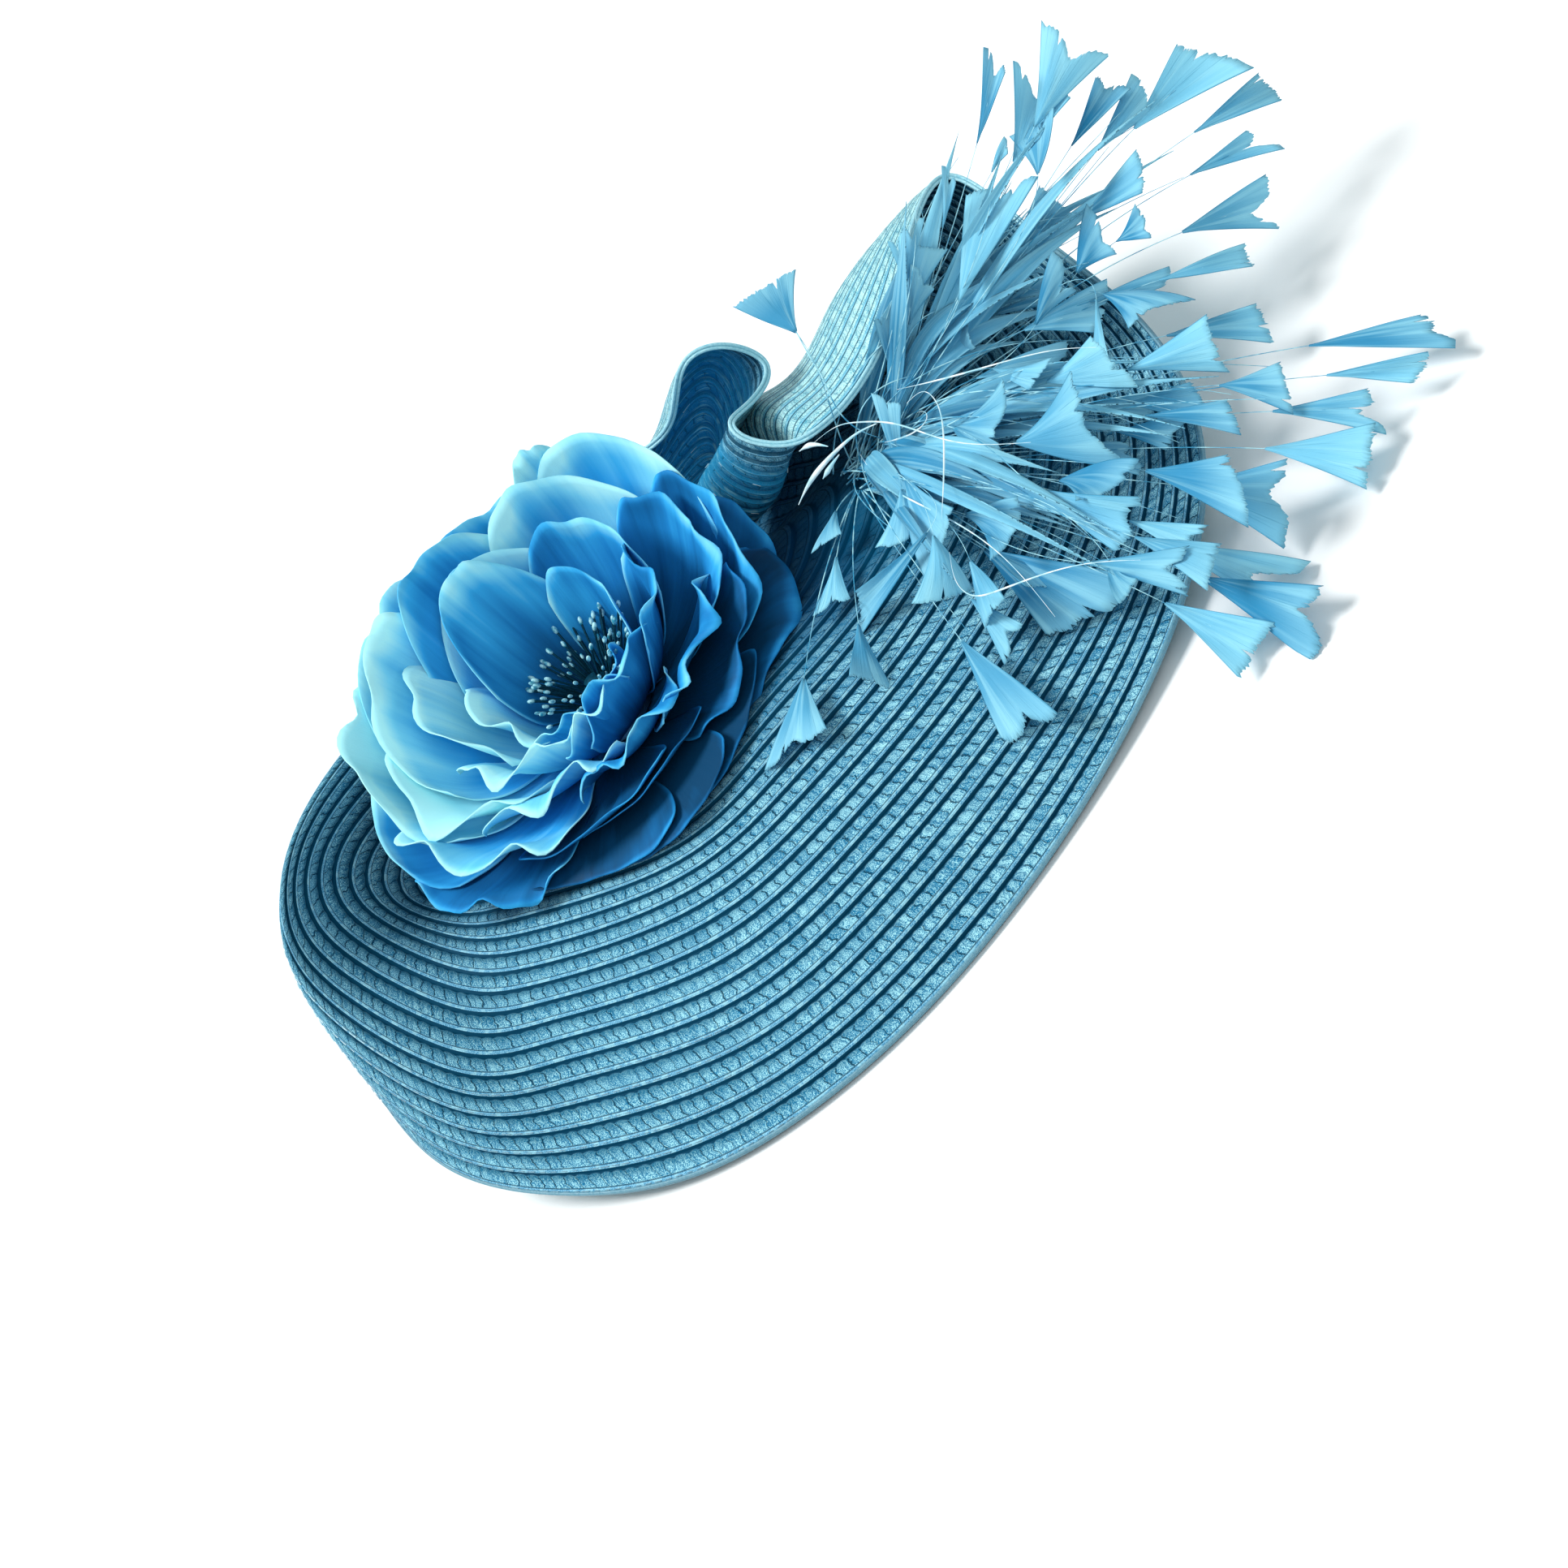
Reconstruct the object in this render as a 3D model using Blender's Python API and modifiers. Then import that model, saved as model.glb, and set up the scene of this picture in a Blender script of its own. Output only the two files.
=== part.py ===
# Straw-braid fascinator: a wavy sewn disc with a folded wing, a peony and a spray of feathers.
# Lengths in the tables are millimetres; x runs to the right, y away from the viewer, z up, the floor is z = 0.
import math

import bpy
import numpy as np

MM = 0.001
ORIGIN = (57.1, -17.0, 0.0)
BRIM_WALL = 1.8
COLUMNS_PER_RIB = 3
BRIM_ROWS = (0.0, 0.1, 0.2, 0.3, 0.4, 0.5, 0.6, 0.7, 0.8, 0.87, 0.94, 1.0)
CROWN = (5.0, 70.0, 50.0)

# Each rib runs from the crown point to the rim: height half way to ring 2, then ring 2, 3, 4 and the rim.
RIBS = {
    "front":       (50, (-2, -19, 50), (-6, -64, 40), (-11, -112, 24), (-17, -157, 2)),
    "frontLeft":   (49, (-45, -14, 49), (-62, -50, 39), (-81, -98, 24), (-96, -145, 3)),
    "leftFront":   (48, (-88, 30, 48), (-121, -1, 42), (-144, -49, 30), (-160, -104, 8)),
    "leftCorner":  (47, (-112, 50, 46), (-144, 29, 47), (-174, -28, 47), (-197, -54, 23)),
    "left":        (46, (-125, 68, 45), (-157, 62, 59), (-189, 14, 76), (-205, -12, 41)),
    "leftBack":    (45, (-125, 84, 45), (-157, 84, 73), (-184, 50, 100), (-198, 56, 54)),
    "backLeft":    (44, (-108, 96, 45), (-138, 98, 77), (-157, 85, 107), (-184, 114, 55)),
    "backFlower":  (42, (-70, 106, 42), (-84, 116, 66), (-99, 113, 102), (-120, 148, 62)),
    "back":        (38, (-15, 114, 39), (-22, 130, 60), (-25, 128, 88), (-34, 150, 80)),
    "loopRise":    (34, (25, 118, 37), (25, 136, 54), (27, 138, 74), (30, 132, 90)),
    "loopStart":   (33, (46, 120, 37), (48, 136, 56), (60, 132, 80), (68, 109, 93)),
    "loopTop":     (32, (56, 122, 37), (66, 135, 58), (84, 126, 92), (91, 96, 114)),
    "loopCorner":  (32, (62, 123, 37), (72, 132, 58), (98, 120, 92), (106, 91, 108)),
    "loopEnd":     (32, (66, 123, 37), (74, 127, 57), (98, 114, 82), (112, 86, 93)),
    "middleArm":   (32, (70, 122, 37), (68, 118, 57), (84, 102, 71), (97, 70, 94)),
    "turn":        (32, (74, 121, 37), (56, 106, 58), (65, 81, 79), (82, 50, 105)),
    "turnMid":     (32, (79, 120, 37), (57, 94, 46), (67, 68, 65), (82, 42, 99)),
    "turnLow":     (32, (86, 119, 37), (72, 91, 44), (78, 66, 54), (91, 33, 90)),
    "lapelStart":  (33, (94, 117, 37), (90, 108, 55), (88, 81, 74), (102, 29, 87)),
    "lapelLeft":   (33, (100, 112, 37), (112, 120, 54), (112, 92, 75), (118, 28, 86)),
    "lapelMid":    (35, (108, 102, 37), (138, 120, 54), (146, 92, 82), (147, 33, 90)),
    "lapelRight":  (38, (118, 92, 39), (164, 112, 58), (178, 92, 88), (179, 51, 98)),
    "wingTip":     (41, (130, 80, 40), (182, 94, 52), (207, 98, 76), (214, 80, 92)),
    "rightWall":   (44, (136, 62, 42), (178, 62, 44), (206, 60, 56), (219, 44, 72)),
    "rightLow":    (47, (124, 30, 45), (164, 16, 38), (196, 2, 36), (217, -12, 40)),
    "rightCorner": (49, (96, 0, 47), (134, -24, 37), (168, -48, 24), (195, -68, 20)),
    "frontRight":  (50, (50, -16, 49), (76, -54, 38), (102, -92, 22), (124, -124, 7)),
}

RING_CENTRE = (-4.0, 40.0)
RING_HALF = (70.0, 78.0)
RING_WALL = 2.2
RING_GAP = 0.4
RING_COLUMNS = 56

FLOWER_AXIS = (-33.0, 46.0)
PETAL_WALL = 1.2
PETAL_COLUMNS = 5
PETAL_STEPS = (0.0, 0.16, 0.36, 0.6, 0.82, 1.0)
BOWL_OUT = 0.88
BOWL_UP = 0.16
BASE_RADIUS = 26.0
BASE_BOTTOM = 50.9
BASE_TOP = 53.4

# Layer: centre radius, centre height, how far the edge falls between petals, then one row for each petal:
# azimuth in degrees from the right, counter-clockwise seen from above, reach of the tip, height of the tip.
LAYERS = {
    "outer_petals": (24, 54.4, 0.20, (
        (-95, 84, 52), (-52, 78, 56), (-12, 91, 60), (36, 88, 94),
        (88, 66, 112), (132, 72, 108), (170, 105, 84), (216, 80, 54))),
    "second_petals": (21, 56.0, 0.16, (
        (-112, 66, 66), (-70, 64, 66), (-25, 80, 78), (26, 86, 128),
        (72, 62, 138), (112, 58, 146), (152, 86, 126), (196, 84, 86))),
    "third_petals": (18, 57.6, 0.14, (
        (-93, 50, 80), (-48, 53, 83), (-8, 74, 94), (40, 66, 134),
        (88, 50, 147), (135, 55, 148), (176, 76, 102), (222, 46, 84))),
    "fourth_petals": (15, 59.2, 0.14, (
        (-80, 33, 101), (-25, 44, 101), (22, 56, 118), (68, 45, 138),
        (112, 43, 140), (158, 52, 120), (210, 42, 94))),
    "inner_petals": (12, 60.8, 0.12, (
        (-60, 24, 92), (0, 34, 108), (48, 34, 128), (92, 32, 142),
        (135, 33, 130), (190, 32, 96), (240, 24, 90))),
}

STAMEN_BASE = 61.8
STAMEN_PROFILE = ((0.0, 0.0), (7.0, 0.0), (8.0, 12.0), (12.0, 26.0), (18.0, 38.0), (17.0, 43.0), (9.0, 47.0),
                  (0.0, 48.0))
STAMEN_SIDES = 14
STAMEN_AXIS = (-29.0, 45.0)

BINDING = (108.0, 36.0, 53.6)
BINDING_HALF = (15.0, 19.0, 6.5)
FAN_FROM = 42.0
FAN_TO = -168.0
QUILL_WIDTH = 1.8
QUILL_WALL = 1.3

# Feather: tip, rise of the bow, forward bow, vane length, vane width.
FEATHERS = {
    "upper thin":     ((209, 30, 119), 4, 22, 22, 6),
    "upper narrow":   ((253, 35, 134), 6, 22, 34, 10),
    "upper fan":      ((260, 30, 114), 8, 22, 34, 24),
    "top fan":        ((278, 25, 121), 8, 18, 38, 26),
    "side high":      ((277, 20, 98), 12, 16, 30, 15),
    "side mid":       ((283, 15, 87), 16, 14, 30, 15),
    "far fan":        ((313, 10, 78), 26, 10, 44, 30),
    "far point":      ((318, 0, 56), 36, 8, 34, 15),
    "far low":        ((303, -5, 44), 38, 6, 32, 13),
    "right high":     ((284, -22, 34), 38, 4, 34, 20),
    "right mid":      ((261, -30, 30), 36, 2, 32, 15),
    "right low":      ((244, -55, 22), 30, 0, 34, 15),
    "long":           ((275, -129, 12), 24, 0, 48, 17),
    "long pair":      ((257, -138, 14), 22, 0, 34, 11),
    "drop right":     ((236, -135, 14), 22, 0, 38, 15),
    "drop wide":      ((221, -144, 10), 22, 0, 38, 23),
    "drop fan":       ((189, -135, 16), 22, 0, 38, 29),
    "drop front":     ((164, -155, 10), 26, 0, 42, 23),
    "drop long":      ((159, -184, 6), 28, 0, 48, 27),
    "drop left":      ((139, -168, 7), 30, 0, 38, 21),
    "brim fan":       ((112, -104, 23), 24, 0, 52, 34),
    "brim point":     ((65, -121, 22), 26, 0, 46, 26),
    "disc fan":       ((4, -56, 50), 14, 0, 30, 30),
    "disc left":      ((41, -58, 48), 14, 0, 26, 16),
    "small upper":    ((72, 8, 62), 6, 0, 18, 14),
    "small lower":    ((54, -17, 56), 8, 0, 24, 14),
    "lone triangle":  ((124, 20, 142), 4, 26, 26, 24),
}
VANE_FACE = (0.0, -0.6, 0.8)


def material(name, colour, roughness):
    mat = bpy.data.materials.new(name)
    mat.use_nodes = True
    shader = mat.node_tree.nodes["Principled BSDF"]
    shader.inputs["Base Color"].default_value = (*colour, 1.0)
    shader.inputs["Roughness"].default_value = roughness
    mat.diffuse_color = (*colour, 1.0)
    return mat


def inFrame(point):
    # The tables' points, from the hat's own axes to the row's frame in metres.
    return tuple((float(c) - o) * MM for c, o in zip(point, ORIGIN))


def objectFrom(name, points, faces, mat, collection):
    mesh = bpy.data.meshes.new(name)
    mesh.from_pydata([inFrame(p) for p in points], [], faces)
    mesh.materials.append(mat)
    mesh.update()
    obj = bpy.data.objects.new(name, mesh)
    collection.objects.link(obj)
    return obj


def thicken(obj, wall):
    mod = obj.modifiers.new("wall", "SOLIDIFY")
    mod.thickness = wall * MM
    mod.offset = 0.0
    mod.use_even_offset = True
    return obj


def periodicSlopes(knots, values):
    # Slopes of the smooth closed cubic through the values; the last knot closes on the first value.
    count = len(values)
    gaps = np.diff(knots)
    system = np.zeros((count, count))
    right = np.zeros(values.shape)
    for i in range(count):
        before, after = gaps[i - 1], gaps[i]
        system[i, i - 1] += after
        system[i, i] += 2 * (before + after)
        system[i, (i + 1) % count] += before
        rise = after * (values[i] - values[i - 1]) / before
        right[i] = 3 * (rise + before * (values[(i + 1) % count] - values[i]) / after)
    return np.linalg.solve(system, right.reshape(count, -1)).reshape(values.shape)


def naturalSlopes(knots, values):
    # Slopes of the smooth open cubic with free ends.
    count = len(values)
    gaps = np.diff(knots)
    system = np.zeros((count, count))
    right = np.zeros(values.shape)
    system[0, 0], system[0, 1] = 2, 1
    right[0] = 3 * (values[1] - values[0]) / gaps[0]
    system[-1, -1], system[-1, -2] = 2, 1
    right[-1] = 3 * (values[-1] - values[-2]) / gaps[-1]
    for i in range(1, count - 1):
        before, after = gaps[i - 1], gaps[i]
        system[i, i - 1], system[i, i], system[i, i + 1] = after, 2 * (before + after), before
        rise = after * (values[i] - values[i - 1]) / before
        right[i] = 3 * (rise + before * (values[i + 1] - values[i]) / after)
    return np.linalg.solve(system, right.reshape(count, -1)).reshape(values.shape)


def hermite(knots, values, slopes, at):
    at = np.asarray(at, float)
    i = np.clip(np.searchsorted(knots, at, side="right") - 1, 0, len(knots) - 2)
    j = (i + 1) % len(values)
    shape = (len(at),) + (1,) * (values.ndim - 1)
    gap = (knots[i + 1] - knots[i]).reshape(shape)
    t = ((at - knots[i]).reshape(shape)) / gap
    start = (2 * t**3 - 3 * t**2 + 1) * values[i] + (t**3 - 2 * t**2 + t) * gap * slopes[i]
    return start + (-2 * t**3 + 3 * t**2) * values[j] + (t**3 - t**2) * gap * slopes[j]


def brimTable():
    crown = np.array(CROWN)
    rings = np.array([rib[1:] for rib in RIBS.values()], float)
    bed = crown + (rings[:, 0] - crown) * 0.5
    bed[:, 2] = [rib[0] for rib in RIBS.values()]
    pole = np.repeat(crown[None], len(RIBS), axis=0)
    return np.concatenate([pole[:, None], bed[:, None], rings], axis=1)


def ribKnots(table):
    outer = 0.5 * table[:, 5] + 0.3 * table[:, 4] + 0.2 * table[:, 3]
    steps = np.linalg.norm(np.roll(outer, -1, axis=0) - outer, axis=1) ** 0.75
    knots = np.concatenate([[0.0], np.cumsum(steps)])
    return knots / knots[-1]


def brimGrid(columns, rows):
    # Points of the brim's middle surface, indexed by row from the crown and by column clockwise from the front.
    table = brimTable()
    knots = ribKnots(table)
    rings = np.linspace(0, 1, table.shape[1])
    around = np.swapaxes(hermite(knots, table, periodicSlopes(knots, table), columns), 0, 1)
    return hermite(rings, around, naturalSlopes(rings, around), rows)


def columnsBetweenRibs(knots, count):
    steps = [knots[i] + (knots[i + 1] - knots[i]) * k / count for i in range(len(knots) - 1) for k in range(count)]
    return np.array(steps)


def wheelFaces(rows, columns):
    # Faces of a disc with one point at its centre and closed rings round it.
    faces = []
    for c in range(columns):
        faces.append((0, 1 + c, 1 + (c + 1) % columns))
    for r in range(rows - 1):
        inner = 1 + r * columns
        outer = inner + columns
        for c in range(columns):
            d = (c + 1) % columns
            faces.append((inner + c, outer + c, outer + d, inner + d))
    return faces


def brim(collection, mat):
    columns = columnsBetweenRibs(ribKnots(brimTable()), COLUMNS_PER_RIB)
    grid = brimGrid(columns, BRIM_ROWS)
    points = [CROWN] + [p for row in grid[1:] for p in row]
    obj = objectFrom("brim", points, wheelFaces(len(BRIM_ROWS) - 1, len(columns)), mat, collection)
    return thicken(obj, BRIM_WALL)


def bedHeights(places):
    # Lowest height of the brim's inner part over each place.
    grid = brimGrid(np.linspace(0, 1, 361)[:-1], np.linspace(0.0, 0.5, 61)).reshape(-1, 3)
    heights = []
    for x, y in places:
        away = np.hypot(grid[:, 0] - x, grid[:, 1] - y)
        nearest = np.argsort(away)[:6]
        heights.append(grid[nearest, 2].min())
    return heights


def headRing(collection, mat):
    angles = [2 * math.pi * k / RING_COLUMNS for k in range(RING_COLUMNS)]
    places = [(RING_CENTRE[0] + RING_HALF[0] * math.cos(a), RING_CENTRE[1] + RING_HALF[1] * math.sin(a))
              for a in angles]
    tops = [h - BRIM_WALL / 2 - RING_GAP - 0.35 for h in bedHeights(places)]
    rows = [[(x, y, top * f) for (x, y), top in zip(places, tops)] for f in (0.0, 0.5, 1.0)]
    points = [p for row in rows for p in row]
    faces = []
    for r in range(2):
        for c in range(RING_COLUMNS):
            d = (c + 1) % RING_COLUMNS
            base = r * RING_COLUMNS
            faces.append((base + c, base + d, base + RING_COLUMNS + d, base + RING_COLUMNS + c))
    obj = objectFrom("head_ring", points, faces, mat, collection)
    mod = obj.modifiers.new("wall", "SOLIDIFY")
    mod.thickness = RING_WALL * MM
    mod.offset = 0.0
    return obj


def flowerBase(collection, mat):
    bpy.ops.mesh.primitive_cylinder_add(
        vertices=28, radius=BASE_RADIUS * MM, depth=(BASE_TOP - BASE_BOTTOM) * MM,
        location=inFrame((*FLOWER_AXIS, (BASE_BOTTOM + BASE_TOP) / 2)))
    obj = bpy.context.object
    obj.name = "flower_base"
    obj.data.materials.append(mat)
    moveTo(obj, collection)
    return obj


def moveTo(obj, collection):
    for other in list(obj.users_collection):
        other.objects.unlink(obj)
    collection.objects.link(obj)


def petalColumns(petals, count):
    # Angles round a layer, the reach and height there, and the place across its petal from -1 to 1.
    centres = [p[0] for p in petals]
    edges = []
    for i, centre in enumerate(centres):
        after = centres[(i + 1) % len(centres)] + (360 if i + 1 == len(centres) else 0)
        edges.append((centre + after) / 2)
    knots = np.array(centres + [centres[0] + 360.0])
    values = np.array([p[1:] for p in petals], float)
    slopes = periodicSlopes(knots, values)
    angles, across = [], []
    for i, centre in enumerate(centres):
        low = edges[i - 1] - (360 if i == 0 else 0)
        for k in range(count):
            t = -1 + 2 * k / count
            angles.append(centre + t * (centre - low if t < 0 else edges[i] - centre))
            across.append(t)
    wrapped = knots[0] + (np.array(angles) - knots[0]) % 360
    return np.radians(angles), hermite(knots, values, slopes, wrapped), np.array(across)


def petalGrid(radius, height, fall, petals, count, steps):
    angles, tips, across = petalColumns(petals, count)
    rows = []
    for s in steps:
        u = s * (1 - fall * np.abs(across) ** 3)
        out = radius + (tips[:, 0] - radius) * BOWL_OUT
        up = height + (tips[:, 1] - height) * BOWL_UP
        r = radius * (1 - u) ** 2 + 2 * u * (1 - u) * out + u**2 * tips[:, 0]
        z = height * (1 - u) ** 2 + 2 * u * (1 - u) * up + u**2 * tips[:, 1]
        rows.append(np.stack([FLOWER_AXIS[0] + r * np.cos(angles), FLOWER_AXIS[1] + r * np.sin(angles), z], axis=1))
    return rows


def petalLayer(name, collection, mat):
    radius, height, fall, petals = LAYERS[name]
    rows = petalGrid(radius, height, fall, petals, PETAL_COLUMNS, PETAL_STEPS)
    points = [(FLOWER_AXIS[0], FLOWER_AXIS[1], height)] + [p for row in rows for p in row]
    obj = objectFrom(name, points, wheelFaces(len(rows), len(rows[0])), mat, collection)
    return thicken(obj, PETAL_WALL)


def stamens(collection, mat):
    points = [(r, 0.0, STAMEN_BASE + z) for r, z in STAMEN_PROFILE]
    mesh = bpy.data.meshes.new("stamens")
    mesh.from_pydata([tuple(c * MM for c in p) for p in points], [(i, i + 1) for i in range(len(points) - 1)], [])
    mesh.materials.append(mat)
    obj = bpy.data.objects.new("stamens", mesh)
    obj.location = inFrame((*STAMEN_AXIS, 0.0))
    collection.objects.link(obj)
    mod = obj.modifiers.new("turn", "SCREW")
    mod.steps = STAMEN_SIDES
    mod.render_steps = STAMEN_SIDES
    mod.use_merge_vertices = True
    mod.merge_threshold = 0.0001
    mod.use_normal_calculate = True
    return obj


def featherRoots():
    # The quills leave the binding in a fan, in the order of the directions that they take.
    binding = np.array(BINDING)
    turns = {name: math.atan2(row[0][1] - binding[1], row[0][0] - binding[0]) for name, row in FEATHERS.items()}
    order = sorted(turns, key=lambda name: -turns[name])
    roots = {}
    for k, name in enumerate(order):
        angle = math.radians(FAN_FROM + (FAN_TO - FAN_FROM) * k / (len(order) - 1))
        roots[name] = binding + np.array((math.cos(angle) * BINDING_HALF[0], math.sin(angle) * BINDING_HALF[1], 0.0)) * 0.8
    return roots


def featherStrip(root, tip, rise, forward, vane, width):
    # A bent strip: a narrow quill that opens into a flat vane; four corners at each station.
    tip = np.array(tip, float)
    middle = (root + tip) / 2 + np.array((0, -forward, rise))
    length = np.linalg.norm(tip - root)
    neck = 1 - vane / length
    stations = (0.0, neck * 0.33, neck * 0.67, neck, neck + (1 - neck) * 0.5, 1.0)
    widths = (QUILL_WIDTH, QUILL_WIDTH, QUILL_WIDTH, QUILL_WIDTH, width * 0.55, width)
    face = np.array(VANE_FACE)
    points = []
    for t, w in zip(stations, widths):
        centre = (1 - t) ** 2 * root + 2 * t * (1 - t) * middle + t**2 * tip
        along = 2 * (1 - t) * (middle - root) + 2 * t * (tip - middle)
        along /= np.linalg.norm(along)
        side = np.cross(along, face)
        side /= np.linalg.norm(side)
        normal = np.cross(side, along)
        for a, b in ((-1, -1), (1, -1), (1, 1), (-1, 1)):
            points.append(centre + side * a * w / 2 + normal * b * QUILL_WALL / 2)
    return points


def stripFaces(first, stations):
    faces = [(first, first + 3, first + 2, first + 1)]
    for k in range(stations - 1):
        low = first + 4 * k
        for a in range(4):
            b = (a + 1) % 4
            faces.append((low + a, low + b, low + 4 + b, low + 4 + a))
    last = first + 4 * (stations - 1)
    faces.append((last, last + 1, last + 2, last + 3))
    return faces


def featherSpray(collection, mat):
    points, faces = [], []
    roots = featherRoots()
    for name, (tip, rise, forward, vane, width) in FEATHERS.items():
        strip = featherStrip(roots[name], tip, rise, forward, vane, width)
        faces += stripFaces(len(points), len(strip) // 4)
        points += strip
    strips = objectFrom("feather_strips", points, faces, mat, collection)
    strips.hide_render = True
    strips.display_type = "WIRE"
    bpy.ops.mesh.primitive_uv_sphere_add(segments=16, ring_count=8, radius=1.0)
    obj = bpy.context.object
    obj.name = "feather_spray"
    obj.data.materials.append(mat)
    for vertex in obj.data.vertices:
        for axis in range(3):
            vertex.co[axis] = (vertex.co[axis] * BINDING_HALF[axis] + BINDING[axis] - ORIGIN[axis]) * MM
    moveTo(obj, collection)
    mod = obj.modifiers.new("join strips", "BOOLEAN")
    mod.operation = "UNION"
    mod.solver = "EXACT"
    mod.use_self = True
    mod.object = strips
    return obj


def build():
    for old in list(bpy.data.objects):
        bpy.data.objects.remove(old, do_unlink=True)
    collection = bpy.data.collections.new("sinamay_fascinator")
    bpy.context.scene.collection.children.link(collection)
    straw = material("straw braid", (0.12, 0.42, 0.60), 0.55)
    band = material("band straw", (0.05, 0.22, 0.36), 0.7)
    silk = material("petal silk", (0.04, 0.33, 0.70), 0.6)
    felt = material("base felt", (0.02, 0.15, 0.30), 0.9)
    teal = material("stamen thread", (0.01, 0.10, 0.14), 0.7)
    plume = material("feather", (0.35, 0.72, 0.86), 0.6)
    brim(collection, straw)
    headRing(collection, band)
    flowerBase(collection, felt)
    for name in LAYERS:
        petalLayer(name, collection, silk)
    stamens(collection, teal)
    featherSpray(collection, plume)


build()
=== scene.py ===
import math

import bpy
import numpy as np
from mathutils import Matrix, Vector


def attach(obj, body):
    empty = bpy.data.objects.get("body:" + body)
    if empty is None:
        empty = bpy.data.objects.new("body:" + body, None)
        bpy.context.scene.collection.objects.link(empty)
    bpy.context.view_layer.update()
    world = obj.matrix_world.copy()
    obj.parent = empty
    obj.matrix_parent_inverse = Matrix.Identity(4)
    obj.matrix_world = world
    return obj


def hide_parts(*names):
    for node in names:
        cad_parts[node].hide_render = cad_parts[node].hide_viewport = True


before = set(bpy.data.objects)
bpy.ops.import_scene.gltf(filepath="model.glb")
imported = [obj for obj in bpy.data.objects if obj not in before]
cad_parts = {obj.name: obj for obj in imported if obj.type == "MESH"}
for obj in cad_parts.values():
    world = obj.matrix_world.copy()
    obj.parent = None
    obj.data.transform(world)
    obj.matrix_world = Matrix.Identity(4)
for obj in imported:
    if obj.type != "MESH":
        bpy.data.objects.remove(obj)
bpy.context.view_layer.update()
print("frame loaded, nodes:", sorted(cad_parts))

mm = 0.001
origin = np.array((57.1, -17.0, 0.0))     # middle of the hat's box, in the tables' own millimetres
patchStep = 3.0                           # UV units across that each petal or vane has to itself


def toFrame(points):
    return (np.asarray(points, float) - origin) * mm


def unit(vectors):
    return vectors / np.maximum(np.linalg.norm(vectors, axis=-1, keepdims=True), 1e-9)


def addObject(name, data):
    made = bpy.data.objects.new(name, data)
    bpy.context.scene.collection.objects.link(made)
    return made


def meshPiece(name, points, faces, material, uv=None, uvName="UVMap"):
    mesh = bpy.data.meshes.new(name)
    mesh.from_pydata(toFrame(points).tolist(), [], faces)
    if uv is not None:
        mesh.uv_layers.new(name=uvName).data.foreach_set("uv", np.asarray(uv, float).ravel())
    mesh.materials.append(material)
    mesh.polygons.foreach_set("use_smooth", [True] * len(mesh.polygons))
    mesh.update()
    return addObject(name, mesh)


def pointShares(piece, name, values):
    # A number for each point of a piece, which its material reads by name.
    piece.data.attributes.new(name, "FLOAT", "POINT").data.foreach_set("value", values)


def giveWall(piece, wall):
    modifier = piece.modifiers.new("wall", "SOLIDIFY")
    modifier.thickness = wall * mm
    modifier.offset = 0.0


def addPatch(faces, pairs, rows, cols, index, turned):
    # Faces and UV pairs of patch number index, a grid of rows along it and columns across it.
    uvCols = np.linspace(-1, 1, cols) + patchStep * index
    uvRows = np.linspace(0, 1, rows)
    for r in range(rows - 1):
        for c in range(cols - 1):
            ring = [(r, c), (r, c + 1), (r + 1, c + 1), (r + 1, c)]
            if turned:
                ring = ring[:1] + ring[:0:-1]
            faces.append([(index * rows + j) * cols + i for j, i in ring])
            pairs += [(uvCols[i], uvRows[j]) for j, i in ring]


def circle(axis, radius, height, sides):
    angles = np.arange(sides) / sides * 2 * math.pi
    return [(axis[0] + radius * math.cos(a), axis[1] + radius * math.sin(a), height) for a in angles]


def finishPiece(piece, nodes):
    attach(piece, "root")
    if nodes:
        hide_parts(*nodes)


# Node trees: a wire is one output, and sums on wires add Math nodes.
class Wire:
    def __init__(self, recipe, socket):
        self.recipe = recipe
        self.socket = socket

    def maths(self, operation, *values):
        return self.recipe.add("ShaderNodeMath", {"operation": operation}, dict(enumerate(values)))

    def __add__(self, other):
        return self.maths("ADD", self, other)

    def __radd__(self, other):
        return self.maths("ADD", other, self)

    def __sub__(self, other):
        return self.maths("SUBTRACT", self, other)

    def __rsub__(self, other):
        return self.maths("SUBTRACT", other, self)

    def __mul__(self, other):
        return self.maths("MULTIPLY", self, other)

    def __rmul__(self, other):
        return self.maths("MULTIPLY", other, self)

    def __truediv__(self, other):
        return self.maths("DIVIDE", self, other)

    def __pow__(self, other):
        return self.maths("POWER", self, other)

    def fract(self):
        return self.maths("FRACT", self)

    def floor(self):
        return self.maths("FLOOR", self)

    def size(self):
        return self.maths("ABSOLUTE", self)

    def sine(self):
        return self.maths("SINE", self)

    def highest(self, other):
        return self.maths("MAXIMUM", self, other)

    def rise(self, low, high):
        # 0 below low, 1 above high, smooth between.
        return self.recipe.add("ShaderNodeMapRange", {"interpolation_type": "SMOOTHSTEP"},
                               {"Value": self, "From Min": low, "From Max": high})

    def stripe(self, start, full, fade, end):
        # 1 from full to fade, 0 before start and after end.
        return self.rise(start, full) * (1.0 - self.rise(fade, end))


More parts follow.
